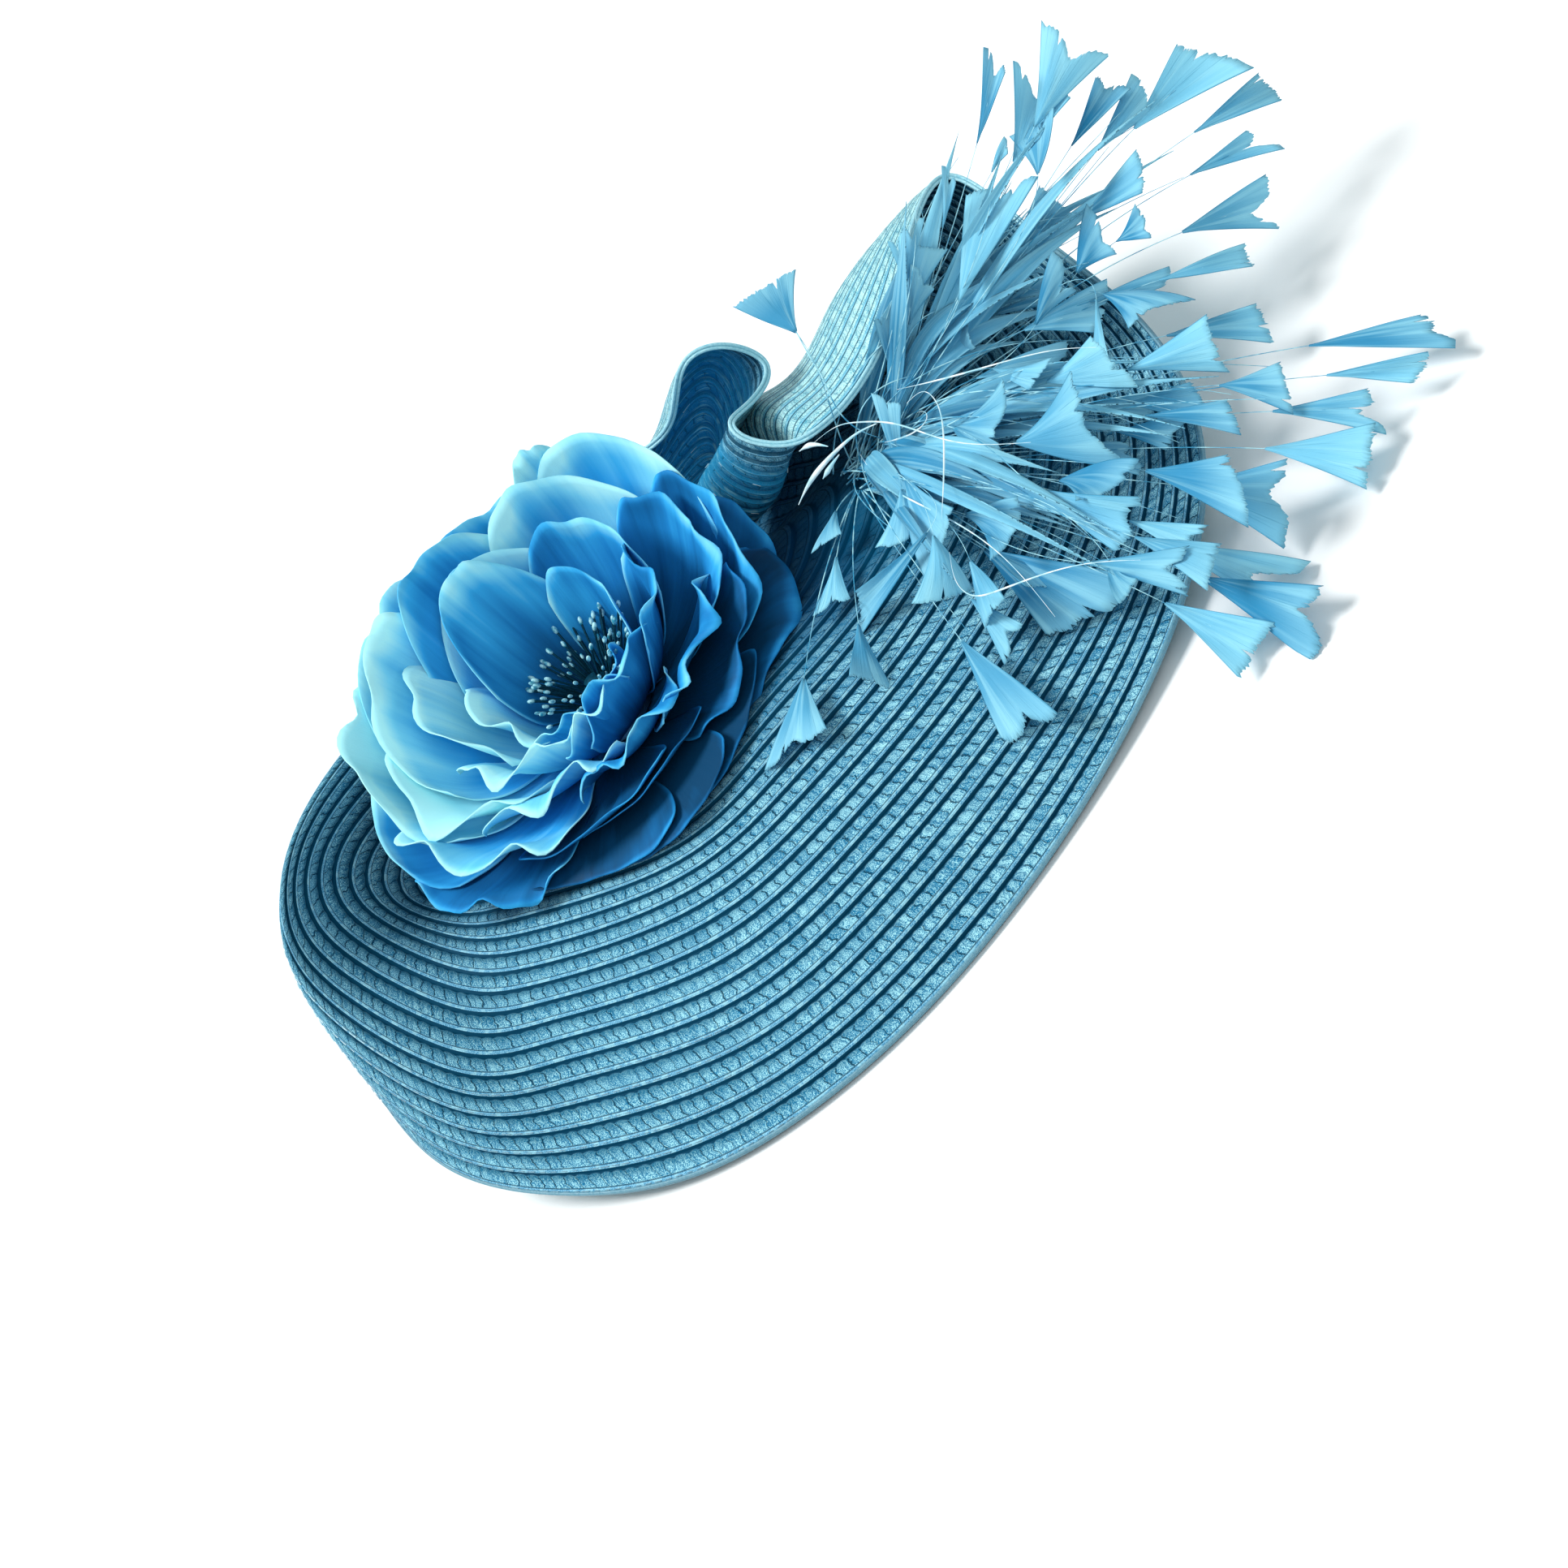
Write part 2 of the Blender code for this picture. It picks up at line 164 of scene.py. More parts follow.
class Recipe:
    def __init__(self, tree, material=None):
        self.tree = tree
        self.material = material

    def add(self, kind, settings=None, values=None, output=0):
        node = self.tree.nodes.new(kind)
        for name, value in (settings or {}).items():
            if name == "stops":
                fillRamp(node.color_ramp, value)
            else:
                setattr(node, name, value)
        for name, value in (values or {}).items():
            if isinstance(value, Wire):
                self.tree.links.new(value.socket, node.inputs[name])
            elif value is not None:
                node.inputs[name].default_value = value
        return Wire(self, node.outputs[output]) if len(node.outputs) else node

    def mix(self, factor, first, second):
        values = {0: factor, 6: colour(first), 7: colour(second)}
        return self.add("ShaderNodeMix", {"data_type": "RGBA"}, values, 2)

    def noise(self, place, scale, detail=2.0, roughness=0.5):
        return self.add("ShaderNodeTexNoise", {"noise_dimensions": "3D"},
                        {"Vector": place, "Scale": scale, "Detail": detail, "Roughness": roughness})

    def place(self, x=0.0, y=0.0, z=0.0):
        return self.add("ShaderNodeCombineXYZ", None, {0: x, 1: y, 2: z})

    def parts(self, vector):
        first = self.add("ShaderNodeSeparateXYZ", None, {0: vector})
        return [Wire(self, socket) for socket in first.socket.node.outputs]

    def coordinates(self, kind):
        return self.add("ShaderNodeTexCoord", None, None, kind)

    def share(self, name):
        return self.add("ShaderNodeAttribute", {"attribute_name": name}, None, 2)

    def chance(self, dimensions, **values):
        return self.add("ShaderNodeTexWhiteNoise", {"noise_dimensions": dimensions}, values)

    def between(self, low, high, seed):
        # A random number for each point.
        values = {2: low, 3: high, "Seed": seed}
        return self.add("FunctionNodeRandomValue", {"data_type": "FLOAT"}, values, 1)

    def patchPlace(self):
        # In a piece of many patches: the patch's number, then -1 to 1 across it and 0 to 1 along it.
        across, along = self.parts(self.coordinates("UV"))[:2]
        ident = ((across + patchStep / 2) / patchStep).floor()
        return ident, across - ident * patchStep, along

    def bump(self, height, distance):
        values = {"Height": height, "Distance": distance * mm, "Strength": 1.0}
        return self.add("ShaderNodeBump", None, values)

    def finish(self, **values):
        # Feeds the material's shader, and gives the material.
        shader = self.tree.nodes["Principled BSDF"]
        for name, value in values.items():
            socket = shader.inputs[name.replace("_", " ")]
            if isinstance(value, Wire):
                self.tree.links.new(value.socket, socket)
            else:
                socket.default_value = colour(value)
        return self.material


def fillRamp(ramp, stops):
    while len(ramp.elements) < len(stops):
        ramp.elements.new(1.0)
    for element, (position, tone) in zip(ramp.elements, stops):
        element.position = position
        element.color = colour(tone)


def colour(value):
    # A hexadecimal colour as a linear one; a number or a wire stays as it is.
    if not isinstance(value, str):
        return value
    parts = [int(value[i:i + 2], 16) / 255 for i in (0, 2, 4)]
    return tuple(v / 12.92 if v < 0.04045 else ((v + 0.055) / 1.055) ** 2.4 for v in parts) + (1.0,)


def newMaterial(name):
    material = bpy.data.materials.new(name)
    material.use_nodes = True
    return Recipe(material.node_tree, material)


# Camera, floor and light.
studio = {
    "target": (-65.9, -39.7, 45.0),        # mm, in the frame
    "elevation": 34.0,
    "roll": 48.0,
    "distance": 1300.0,
    "lens": 79.5,
    "sensor": 36.0,
    "photoWidth": 1932,                    # pixels; the photo is square
    "clipEnd": 50.0,                       # m
    "floorColour": "fafafa",
    "floorRoughness": 0.9,
    "floorHalf": 4000.0,
    "worldStrength": 0.50,
    "worldTint": (0.88, 0.98, 1.0, 1.0),
    "lampPlace": (0.0, 0.0, 2.0),          # m; a sun lights the same from any place
    "lights": {                            # name: direction towards it, width in degrees, strength, tint
        "key": ((-0.46, 0.20, 0.86), 24.0, 2.85, (1.0, 0.995, 0.98)),
        "front": ((0.12, -0.70, 0.70), 40.0, 0.50, (0.97, 0.99, 1.0)),
    },
}


def makeCamera():
    rise, roll = math.radians(studio["elevation"]), math.radians(studio["roll"])
    across = np.array((1.0, 0.0, 0.0))
    upward = np.array((0.0, math.sin(rise), math.cos(rise)))
    back = np.array((0.0, -math.cos(rise), math.sin(rise)))
    right = across * math.cos(roll) - upward * math.sin(roll)
    top = across * math.sin(roll) + upward * math.cos(roll)
    place = np.array(studio["target"]) * mm + back * studio["distance"] * mm
    data = bpy.data.cameras.new("photo_camera")
    data.lens = studio["lens"]
    data.sensor_width = studio["sensor"]
    data.clip_end = studio["clipEnd"]
    camera = addObject("photo_camera", data)
    camera.matrix_world = Matrix([[right[i], top[i], back[i], place[i]] for i in range(3)] + [[0, 0, 0, 1]])
    bpy.context.scene.camera = camera


def fromPhoto(px, py, height):
    # What the camera sees at a pixel of the photo, at a height above the floor, in the tables' millimetres.
    camera = bpy.context.scene.camera.matrix_world
    right, top, back, place = [np.array(camera.col[i][:3]) for i in range(4)]
    middle = studio["photoWidth"] / 2
    focal = studio["photoWidth"] * studio["lens"] / studio["sensor"]
    ray = right * (px - middle) / focal + top * (middle - py) / focal - back
    found = place + ray * (height * mm - place[2]) / ray[2]
    return found / mm + origin


def makeFloor():
    half = studio["floorHalf"]
    recipe = newMaterial("pale floor")
    material = recipe.finish(Base_Color=studio["floorColour"], Roughness=studio["floorRoughness"])
    corners = [origin + (x * half, y * half, 0.0) for x, y in ((-1, -1), (1, -1), (1, 1), (-1, 1))]
    meshPiece("floor", corners, [(0, 1, 2, 3)], material)


def makeLight(name, towards, width, strength, tint):
    data = bpy.data.lights.new(name, "SUN")
    data.angle = math.radians(width)
    data.energy = strength
    data.color = tint
    lamp = addObject(name, data)
    lamp.location = studio["lampPlace"]
    lamp.rotation_euler = Vector(towards).to_track_quat("Z", "Y").to_euler()


def makeWorld():
    world = bpy.data.worlds.new("studio world")
    world.use_nodes = True
    backdrop = world.node_tree.nodes["Background"]
    backdrop.inputs["Color"].default_value = studio["worldTint"]
    backdrop.inputs["Strength"].default_value = studio["worldStrength"]
    bpy.context.scene.world = world
    bpy.context.scene.view_settings.view_transform = "Standard"


makeCamera()
makeFloor()
makeWorld()
for lampName, lampFacts in studio["lights"].items():
    makeLight(lampName, *lampFacts)
print("camera, floor and light ready")


# Smooth curves through the tables' points.
def smoothSlopes(knots, values, closed):
    # Slopes of the smooth cubic through the values, with free ends, or closed on its first value.
    count = len(values)
    gaps = np.diff(knots)
    system = np.zeros((count, count))
    right = np.zeros(values.shape)
    for i in range(count) if closed else range(1, count - 1):
        before, after = gaps[i - 1], gaps[i]
        system[i, i - 1] += after
        system[i, i] += 2 * (before + after)
        system[i, (i + 1) % count] += before
        rise = after * (values[i] - values[i - 1]) / before
        right[i] = 3 * (rise + before * (values[(i + 1) % count] - values[i]) / after)
    if not closed:
        rises = np.diff(values, axis=0)
        for end, inner in ((0, 1), (-1, -2)):
            system[end, end], system[end, inner] = 2, 1
            right[end] = 3 * rises[end] / gaps[end]
    return np.linalg.solve(system, right.reshape(count, -1)).reshape(values.shape)


def smoothAt(knots, values, at, closed=False):
    slopes = smoothSlopes(knots, values, closed)
    at = np.asarray(at, float)
    i = np.clip(np.searchsorted(knots, at, side="right") - 1, 0, len(knots) - 2)
    j = (i + 1) % len(values)
    shape = (len(at),) + (1,) * (values.ndim - 1)
    gap = (knots[i + 1] - knots[i]).reshape(shape)
    t = ((at - knots[i]).reshape(shape)) / gap
    start = (2 * t**3 - 3 * t**2 + 1) * values[i] + (t**3 - 2 * t**2 + t) * gap * slopes[i]
    return start + (-2 * t**3 + 3 * t**2) * values[j] + (t**3 - t**2) * gap * slopes[j]


# The straw brim.
strawBrim = {
    # In each side's facts, fade is the share of the painted shade on the inner part of each row.
    "upper": {
        "shift": 0.0, "scallop": 1.0, "groove": (0.03, 0.11), "widen": (0.05, 0.13), "lines": 0.9,
        "slits": 1.0, "fibre": 0.75, "half": 0.0, "speckle": (0.445, 0.59), "middle": "1276a2",
        "pale": "b4f2fc", "fade": 0.66},
    "lower": {
        "shift": 0.2, "scallop": 0.1, "groove": (0.02, 0.11), "widen": (0.0, 0.0), "lines": 0.25,
        "slits": 0.25, "fibre": 0.40, "half": 0.8, "speckle": (0.38, 0.56), "middle": "44acc6",
        "pale": "ccfafa", "fade": 0.15},
    # Painted shade where the wing, the flower and the feathers cast shadow on the brim: place, reach and
    # height limit in metres of the shared frame.
    "paintedShades": {
        "behind flower": {
            "at": (0.006, 0.052), "reach": (0.020, 0.066), "below": (0.052, 0.066), "share": 0.78,
            "tone": "022a50"},
        "under feathers": {
            "at": (0.070, 0.030), "reach": (0.025, 0.085), "below": (0.060, 0.085), "share": 0.42,
            "tone": "0a6c90"}},
    "crown": (5.0, 70.0, 50.0),
    "crownHalf": 0.6,            # half the wall at the crown, mm
    "rimHalf": 0.75,             # and at the rim
    "rows": 30,
    "columns": 360,
    "plait": 5.6,                # length of one plait along a row, mm
    "fewestPlaits": 3,
    "upperRelief": ((0.0, -0.35), (0.08, -0.30), (0.20, 0.26), (0.48, 0.65), (0.80, 0.76), (0.97, 0.90)),
    "lowerRelief": ((0.0, -0.92), (0.50, -0.70), (0.96, -0.42)),
    "lowerShift": 0.8,
    "lowerRows": (0.2, 0.05),    # rows that the underside's relief leaves free at the crown and at the rim
    "calmRibs": ("back", "lapelStart"),
    "calmEdge": 0.012,           # share of the way round over which the calm part begins and ends
    "calmRows": (9.0, 4.0),      # row where it begins, and rows until it is full
    "calmBelow": 0.25,           # share of it on the underside
    # Each rib runs from the crown to the rim: height half way to ring 2, then rings 2, 3, 4 and the rim.
    "ribs": {
        "front":       (50, (-2, -19, 50), (-6, -64, 40), (-11, -112, 24), (-17, -157, 2)),
        "frontLeft":   (49, (-45, -14, 49), (-62, -50, 39), (-81, -98, 24), (-96, -145, 3)),
        "leftFront":   (48, (-88, 30, 48), (-121, -1, 42), (-144, -49, 30), (-160, -104, 8)),
        "leftCorner":  (47, (-112, 50, 46), (-144, 29, 47), (-174, -28, 47), (-197, -54, 23)),
        "left":        (46, (-125, 68, 45), (-157, 62, 59), (-189, 14, 76), (-205, -12, 41)),
        "leftBack":    (45, (-125, 84, 45), (-157, 84, 73), (-184, 50, 100), (-198, 56, 54)),
        "backLeft":    (44, (-108, 96, 45), (-138, 98, 77), (-157, 85, 107), (-184, 114, 55)),
        "backFlower":  (42, (-70, 106, 42), (-84, 116, 66), (-99, 113, 102), (-120, 148, 62)),
        "back":        (38, (-15, 114, 39), (-22, 130, 60), (-25, 128, 88), (-34, 150, 80)),
        "loopRise":    (34, (25, 118, 37), (25, 136, 54), (27, 138, 74), (30, 132, 90)),
        "loopStart":   (33, (46, 120, 37), (48, 136, 56), (60, 132, 80), (68, 109, 93)),
        "loopTop":     (32, (56, 122, 37), (66, 135, 58), (84, 126, 92), (91, 96, 114)),
        "loopCorner":  (32, (62, 123, 37), (72, 132, 58), (98, 120, 92), (106, 91, 108)),
        "loopEnd":     (32, (66, 123, 37), (74, 127, 57), (98, 114, 82), (112, 86, 93)),
        "middleArm":   (32, (70, 122, 37), (68, 118, 57), (84, 102, 71), (97, 70, 94)),
        "turn":        (32, (74, 121, 37), (56, 106, 58), (65, 81, 79), (82, 50, 105)),
        "turnMid":     (32, (79, 120, 37), (57, 94, 46), (67, 68, 65), (82, 42, 99)),
        "turnLow":     (32, (86, 119, 37), (75, 93, 54), (80, 66, 62), (91, 33, 90)),
        "lapelStart":  (33, (94, 117, 37), (88, 108, 66), (89, 80, 81), (102, 29, 87)),
        "lapelLeft":   (33, (100, 112, 37), (112, 120, 54), (112, 92, 75), (118, 28, 86)),
        "lapelMid":    (35, (108, 102, 37), (138, 120, 54), (146, 92, 82), (147, 33, 90)),
        "lapelRight":  (38, (118, 92, 39), (164, 112, 58), (178, 92, 88), (179, 51, 98)),
        "wingTip":     (41, (130, 80, 40), (182, 94, 52), (207, 98, 76), (214, 80, 92)),
        "rightWall":   (44, (136, 62, 42), (178, 62, 44), (206, 60, 56), (219, 44, 72)),
        "rightLow":    (47, (124, 30, 45), (164, 16, 38), (196, 2, 36), (217, -12, 40)),
        "rightCorner": (49, (96, 0, 47), (134, -24, 37), (168, -48, 24), (195, -68, 20)),
        "frontRight":  (50, (50, -16, 49), (76, -54, 38), (102, -92, 22), (124, -124, 7)),
    },
}

# The pattern of dye and painted light on the plaits: places are shares of a row's width from its inner edge,
# unless a note says otherwise.
plaitPattern = {
    "lean": 0.45, "stagger": 0.37, "wander": 0.8,          # plaits along a row
    "bow": 0.36,                                           # how far a plait's end bows into the groove
    "opened": (-0.19, -0.03),                              # x in metres over which the grooves widen
    "band": (0.04, 0.02, 0.71, 0.75),                      # past the groove's two limits, then where it ends
    "edgeLine": (0.73, 0.76, 0.77, 0.80),
    "secondLine": (0.86, 0.88, 0.89, 0.91),
    "halfLine": (0.47, 0.51, 0.55, 0.59),
    "step": (0.945, 0.975),
    # The painted shade on the inner part of each row ends over these shares.
    "slit": (0.43, 0.485),                                 # plaits from the middle of a plait
    "fade": (0.14, 0.56),
    "shadedRows": (9.0, 17.0),                              # rows over which the painted shade round the flower's foot ends
    "rimRows": (26.2, 28.6),                               # rows over which the calm part fades at the rim
    "streak": (0.54, 0.68),
    # The groove tone is the seam with its painted shadow, the leaf tone a painted highlight, the low tone
    # painted shade on each row's inner part, and the tone after it painted shade near the crown.
    "groove": "053c56", "fibre": "0c6490", "smooth": "98d4ee", "leaf": "b4ecf6", "low": "12607e",
    "crownShade": "14628e", "calm": ("1aa2d8", "90e2f6"), "tint": "7fd0ff",
}


def brimTable():
    crown = np.array(strawBrim["crown"])
    ribs = strawBrim["ribs"].values()
    rings = np.array([rib[1:] for rib in ribs], float)
    bed = crown + (rings[:, 0] - crown) * 0.5
    bed[:, 2] = [rib[0] for rib in ribs]
    pole = np.repeat(crown[None], len(rings), axis=0)
    return np.concatenate([pole[:, None], bed[:, None], rings], axis=1)


def ribKnots(table):
    # Share of the way round at each rib, from the steps between the ribs' outer parts.
    outer = 0.5 * table[:, 5] + 0.3 * table[:, 4] + 0.2 * table[:, 3]
    steps = np.linalg.norm(np.roll(outer, -1, axis=0) - outer, axis=1) ** 0.75
    knots = np.concatenate([[0.0], np.cumsum(steps)])
    return knots / knots[-1]


def ribPlaces(*names):
    knots = ribKnots(brimTable())
    ribs = list(strawBrim["ribs"])
    return [knots[ribs.index(name)] for name in names]


def brimGrid(columns, rows):
    table = brimTable()
    rings = np.linspace(0, 1, table.shape[1])
    around = np.swapaxes(smoothAt(ribKnots(table), table, columns, True), 0, 1)
    return smoothAt(rings, around, rows)


def brimNormals(columns, rows):
    # Upward normals of the brim's middle surface; the columns run clockwise.
    step = 0.0015
    inner, outer = np.maximum(rows - step, 0.0), np.minimum(rows + step, 1.0)
    outward = brimGrid(columns, outer) - brimGrid(columns, inner)
    onward = brimGrid((columns + step) % 1.0, rows) - brimGrid((columns - step) % 1.0, rows)
    return unit(np.cross(onward, outward))


def strawMaterial(name, facts):
    recipe, pattern = newMaterial(name), plaitPattern
    along, across = recipe.parts(recipe.add("ShaderNodeUVMap", {"uv_map": "row"}))[:2]
    across = across + facts["shift"]
    part, row = across.fract(), across.floor()
    drift = recipe.noise(recipe.place(along, across * 3.0, row), 0.9, 2.0) - 0.5
    slant = along + part * pattern["lean"] + drift * pattern["wander"] + row * pattern["stagger"]
    cell, ident = slant.fract(), slant.floor()
    bow = (cell - 0.5).size()
    tone = recipe.chance("2D", Vector=recipe.place(ident, row))
    fibre = recipe.noise(recipe.place(slant * 9.0, part * 1.4, row * 5.0), 1.0, 3.0, 0.6)
    speck = recipe.noise(recipe.place(along * 7.0, across * 8.0, row), 2.6, 3.0, 0.7)
    inner = part - bow * bow * pattern["bow"] * facts["scallop"]
    x, y, z = recipe.parts(recipe.coordinates("Object"))
    opened = x.rise(*pattern["opened"])
    low, high = [opened * wider + narrow for narrow, wider in zip(facts["groove"], facts["widen"])]
    # The dark groove is the real seam between rows, with the shadow of the overlapping row's edge painted
    # into it.
    groove = 1.0 - inner.rise(low, high)
    lowGap, highGap, fadeFrom, fadeTo = pattern["band"]
    band = inner.rise(low + lowGap, high + highGap) * (1.0 - part.rise(fadeFrom, fadeTo))
    edgeLine = part.stripe(*pattern["edgeLine"]) * facts["lines"]
    secondLine = part.stripe(*pattern["secondLine"]) * facts["lines"]
    wander = recipe.noise(recipe.place(ident, row * 3.1), 3.0, 0.0)
    slit = bow.rise(*pattern["slit"]) * band * wander.rise(0.34, 0.50) * facts["slits"]

    shine = speck + ((tone - 0.5) * 0.08 + (0.27 - bow) * 0.12) * (0.35 + opened * 0.65)
    pale = recipe.mix(shine.rise(*facts["speckle"]), facts["middle"], facts["pale"])
    pale = recipe.mix(fibre.rise(0.52, 0.36) * facts["fibre"], pale, pattern["fibre"])
    smooth = recipe.mix(speck.rise(0.35, 0.65), facts["middle"], pattern["smooth"])
    # Painted light across each row: pale leaf-shaped highlights on the outer part, where each convex plait
    # catches the light, and painted shade on the inner part.
    leaf = recipe.noise(recipe.place(slant * 1.2, part * 2.0 - slant * 0.7, row * 9.0), 1.0, 2.0, 0.6)
    smooth = recipe.mix(leaf.rise(0.50, 0.58) * 0.45, smooth, pattern["leaf"])
    face = recipe.mix(band, smooth, pale)
    rowShade = (1.0 - part.rise(*pattern["fade"])) * (1.0 - opened * 0.7) * facts["fade"]
    face = recipe.mix(rowShade, face, pattern["low"])
    # Painted shade: the rows near the crown, round the flower's foot, are darker where its shadow falls.
    face = recipe.mix((1.0 - across.rise(*pattern["shadedRows"])) * 0.75, face, pattern["crownShade"])

    dark = groove.highest(edgeLine * 0.85).highest(part.rise(*pattern["step"])).highest(slit * 0.9)
    dark = dark.highest(secondLine * 0.35).highest(part.stripe(*pattern["halfLine"]) * facts["half"])
    calm = recipe.share("calm") * (1.0 - across.rise(*pattern["rimRows"]) * 0.85)
    streak = recipe.noise(recipe.place(along * 0.5, across * 9.0, row), 1.0, 2.0)
    face = recipe.mix(calm * 0.85, face, recipe.mix(streak.rise(*pattern["streak"]), *pattern["calm"]))
    face = recipe.mix(dark * (1.0 - calm * 0.62), face, pattern["groove"])
    # Painted shade: darken the brim where shadow falls behind the flower and under the feathers.
    for paintedShade in strawBrim["paintedShades"].values():
        away = ((x - paintedShade["at"][0]) ** 2.0 + (y - paintedShade["at"][1]) ** 2.0) ** 0.5
        reach = (1.0 - away.rise(*paintedShade["reach"])) * (1.0 - z.rise(*paintedShade["below"]))
        face = recipe.mix(reach * paintedShade["share"], face, paintedShade["tone"])
    relief = band * (0.30 + 0.40 * fibre + 0.25 * speck) * (1.0 - slit) + (1.0 - band) * 0.5 - edgeLine * 0.5
    return recipe.finish(Base_Color=face, Roughness=0.42 + speck * 0.2, Normal=recipe.bump(relief, 0.8),
                         Specular_IOR_Level=0.10, Specular_Tint=pattern["tint"])


def rowCells(columns, rows):
    # For each row, how many plaits have passed at each column; a whole number fits round the row.
    middle = brimGrid(columns, (np.arange(rows) + 0.5) / rows)
    steps = np.linalg.norm(np.roll(middle, -1, axis=1) - middle, axis=2)
    run = np.concatenate([np.zeros((rows, 1)), np.cumsum(steps, axis=1)], axis=1)
    total = run[:, -1:]
    return run / total * np.maximum(np.round(total / strawBrim["plait"]), strawBrim["fewestPlaits"])


def ringFaces(rings, columns, start, upward):
    inner = start + np.arange(rings - 1)[:, None] * columns + np.arange(columns)[None]
    onward = start + np.arange(rings - 1)[:, None] * columns + (np.arange(columns)[None] + 1) % columns
    corners = (inner, onward, onward + columns, inner + columns) if upward else (
        inner, inner + columns, onward + columns, onward)
    return np.stack(corners, axis=-1).reshape(-1, 4)


def ringUv(levels, rowOf, cells, upward):
    # One pair for each corner of ringFaces, so every row keeps its own count of plaits.
    here, nextOne = cells[rowOf][:, :-1], cells[rowOf][:, 1:]
    low = np.repeat(levels[:-1, None], here.shape[1], axis=1)
    high = np.repeat(levels[1:, None], here.shape[1], axis=1)
    pairs = [(here, low), (nextOne, low), (nextOne, high), (here, high)] if upward else [
        (here, low), (here, high), (nextOne, high), (nextOne, low)]
    return np.stack([np.stack(pair, axis=-1) for pair in pairs], axis=2).reshape(-1, 2)


def calmShare(columns, levelsOf, count):
    # 1 in the loop and the U-turn, where the photo shows hardly any plait, 0 on the rest.
    start, end = ribPlaces(*strawBrim["calmRibs"])
    firstRow, fullRows = strawBrim["calmRows"]
    aside = np.clip(np.minimum(columns - start, end - columns) / strawBrim["calmEdge"], 0, 1)
    shares = [np.clip((levels - firstRow) / fullRows, 0, 1)[:, None] * aside[None] for levels in levelsOf]
    flat = np.concatenate([share.ravel() for share in shares])
    flat[shares[0].size:] *= strawBrim["calmBelow"]
    return np.concatenate([flat, np.zeros(count - len(flat))])


def brimLevels():
    # Row numbers and lifts of the upper and the lower face, from the crown to the rim.
    rows, shift, rim = strawBrim["rows"], strawBrim["lowerShift"], strawBrim["rimHalf"]
    upper = [(k + f, height) for k in range(rows) for f, height in strawBrim["upperRelief"]]
    lower = [(k + shift + f, depth) for k in range(-1, rows) for f, depth in strawBrim["lowerRelief"]]
    first, last = strawBrim["lowerRows"]
    lower = [pair for pair in lower if first < pair[0] < rows - last]
    return upper[2:] + [(rows, rim)], lower + [(rows, -rim)]


def makeBrim(upperStraw, lowerStraw):
    rows, count = strawBrim["rows"], strawBrim["columns"]
    columns = np.arange(count) / count
    cells = rowCells(columns, rows)
    points, faces, pairs, levelsOf = [], [], [], []
    for side, upward in zip(brimLevels(), (True, False)):
        levels = np.array([pair[0] for pair in side])
        levelsOf.append(levels)
        lift = np.array([pair[1] for pair in side])[:, None, None]
        grid = brimGrid(columns, levels / rows) + brimNormals(columns, levels / rows) * lift
        rowOf = np.clip(np.floor(levels[:-1] + 1e-6).astype(int), 0, rows - 1)
        faces.append(ringFaces(len(levels), count, sum(len(p) for p in points), upward))
        pairs.append(ringUv(levels, rowOf, cells, upward))
        points.append(grid.reshape(-1, 3))
    upperCount = len(points[0])
    crown, half = np.array(strawBrim["crown"]), (0, 0, strawBrim["crownHalf"])
    allPoints = np.concatenate(points + [[crown + half], [crown - half]])
    allFaces = np.concatenate(faces).tolist()
    allPairs = list(np.concatenate(pairs))
    last, lastLow = upperCount - count, upperCount + len(points[1]) - count
    for c in range(count):
        d = (c + 1) % count
        allFaces.append([last + c, last + d, lastLow + d, lastLow + c])
        allPairs += [(cells[-1][c], rows - 0.1)] * 4
    for c in range(count):
        d = (c + 1) % count
        allFaces.append([len(allPoints) - 2, d, c])
        allFaces.append([len(allPoints) - 1, upperCount + c, upperCount + d])
        allPairs += [(cells[0][c], 0.5)] * 6
    piece = meshPiece("straw_brim", allPoints, allFaces, upperStraw, allPairs, "row")
    piece.data.materials.append(lowerStraw)
    sides = np.zeros(len(allFaces), int)
    sides[len(faces[0]):len(faces[0]) + len(faces[1])] = 1
    sides[-count * 2 + 1::2] = 1
    piece.data.polygons.foreach_set("material_index", sides)
    pointShares(piece, "calm", calmShare(columns, levelsOf, len(allPoints)))
    finishPiece(piece, ["brim"])
    return piece


brimPiece = makeBrim(strawMaterial("plaited straw", strawBrim["upper"]),
                     strawMaterial("straw underside", strawBrim["lower"]))
print("straw brim:", len(brimPiece.data.polygons), "faces")


def newTree(name, *inputs):
    # A Geometry Nodes tree with its named inputs, the geometry first.
    tree = bpy.data.node_groups.new(name, "GeometryNodeTree")
    for socketName, kind in (("Geometry", "Geometry"), *inputs):
        tree.interface.new_socket(socketName, in_out="INPUT", socket_type="NodeSocket" + kind)
    tree.interface.new_socket("Geometry", in_out="OUTPUT", socket_type="NodeSocketGeometry")
    recipe = Recipe(tree)
    given = recipe.add("NodeGroupInput").socket.node
    return recipe, [Wire(recipe, given.outputs[i]) for i in range(len(inputs) + 1)]


def endTree(recipe, made):
    recipe.add("NodeGroupOutput", None, {0: made})
    return recipe.tree


def realWith(recipe, geometry, material):
    real = recipe.add("GeometryNodeRealizeInstances", None, {"Geometry": geometry})
    return recipe.add("GeometryNodeSetMaterial", None, {"Geometry": real, "Material": material})


def smoothShaded(recipe, geometry):
    return recipe.add("GeometryNodeSetShadeSmooth", None, {"Geometry": geometry, "Shade Smooth": True})


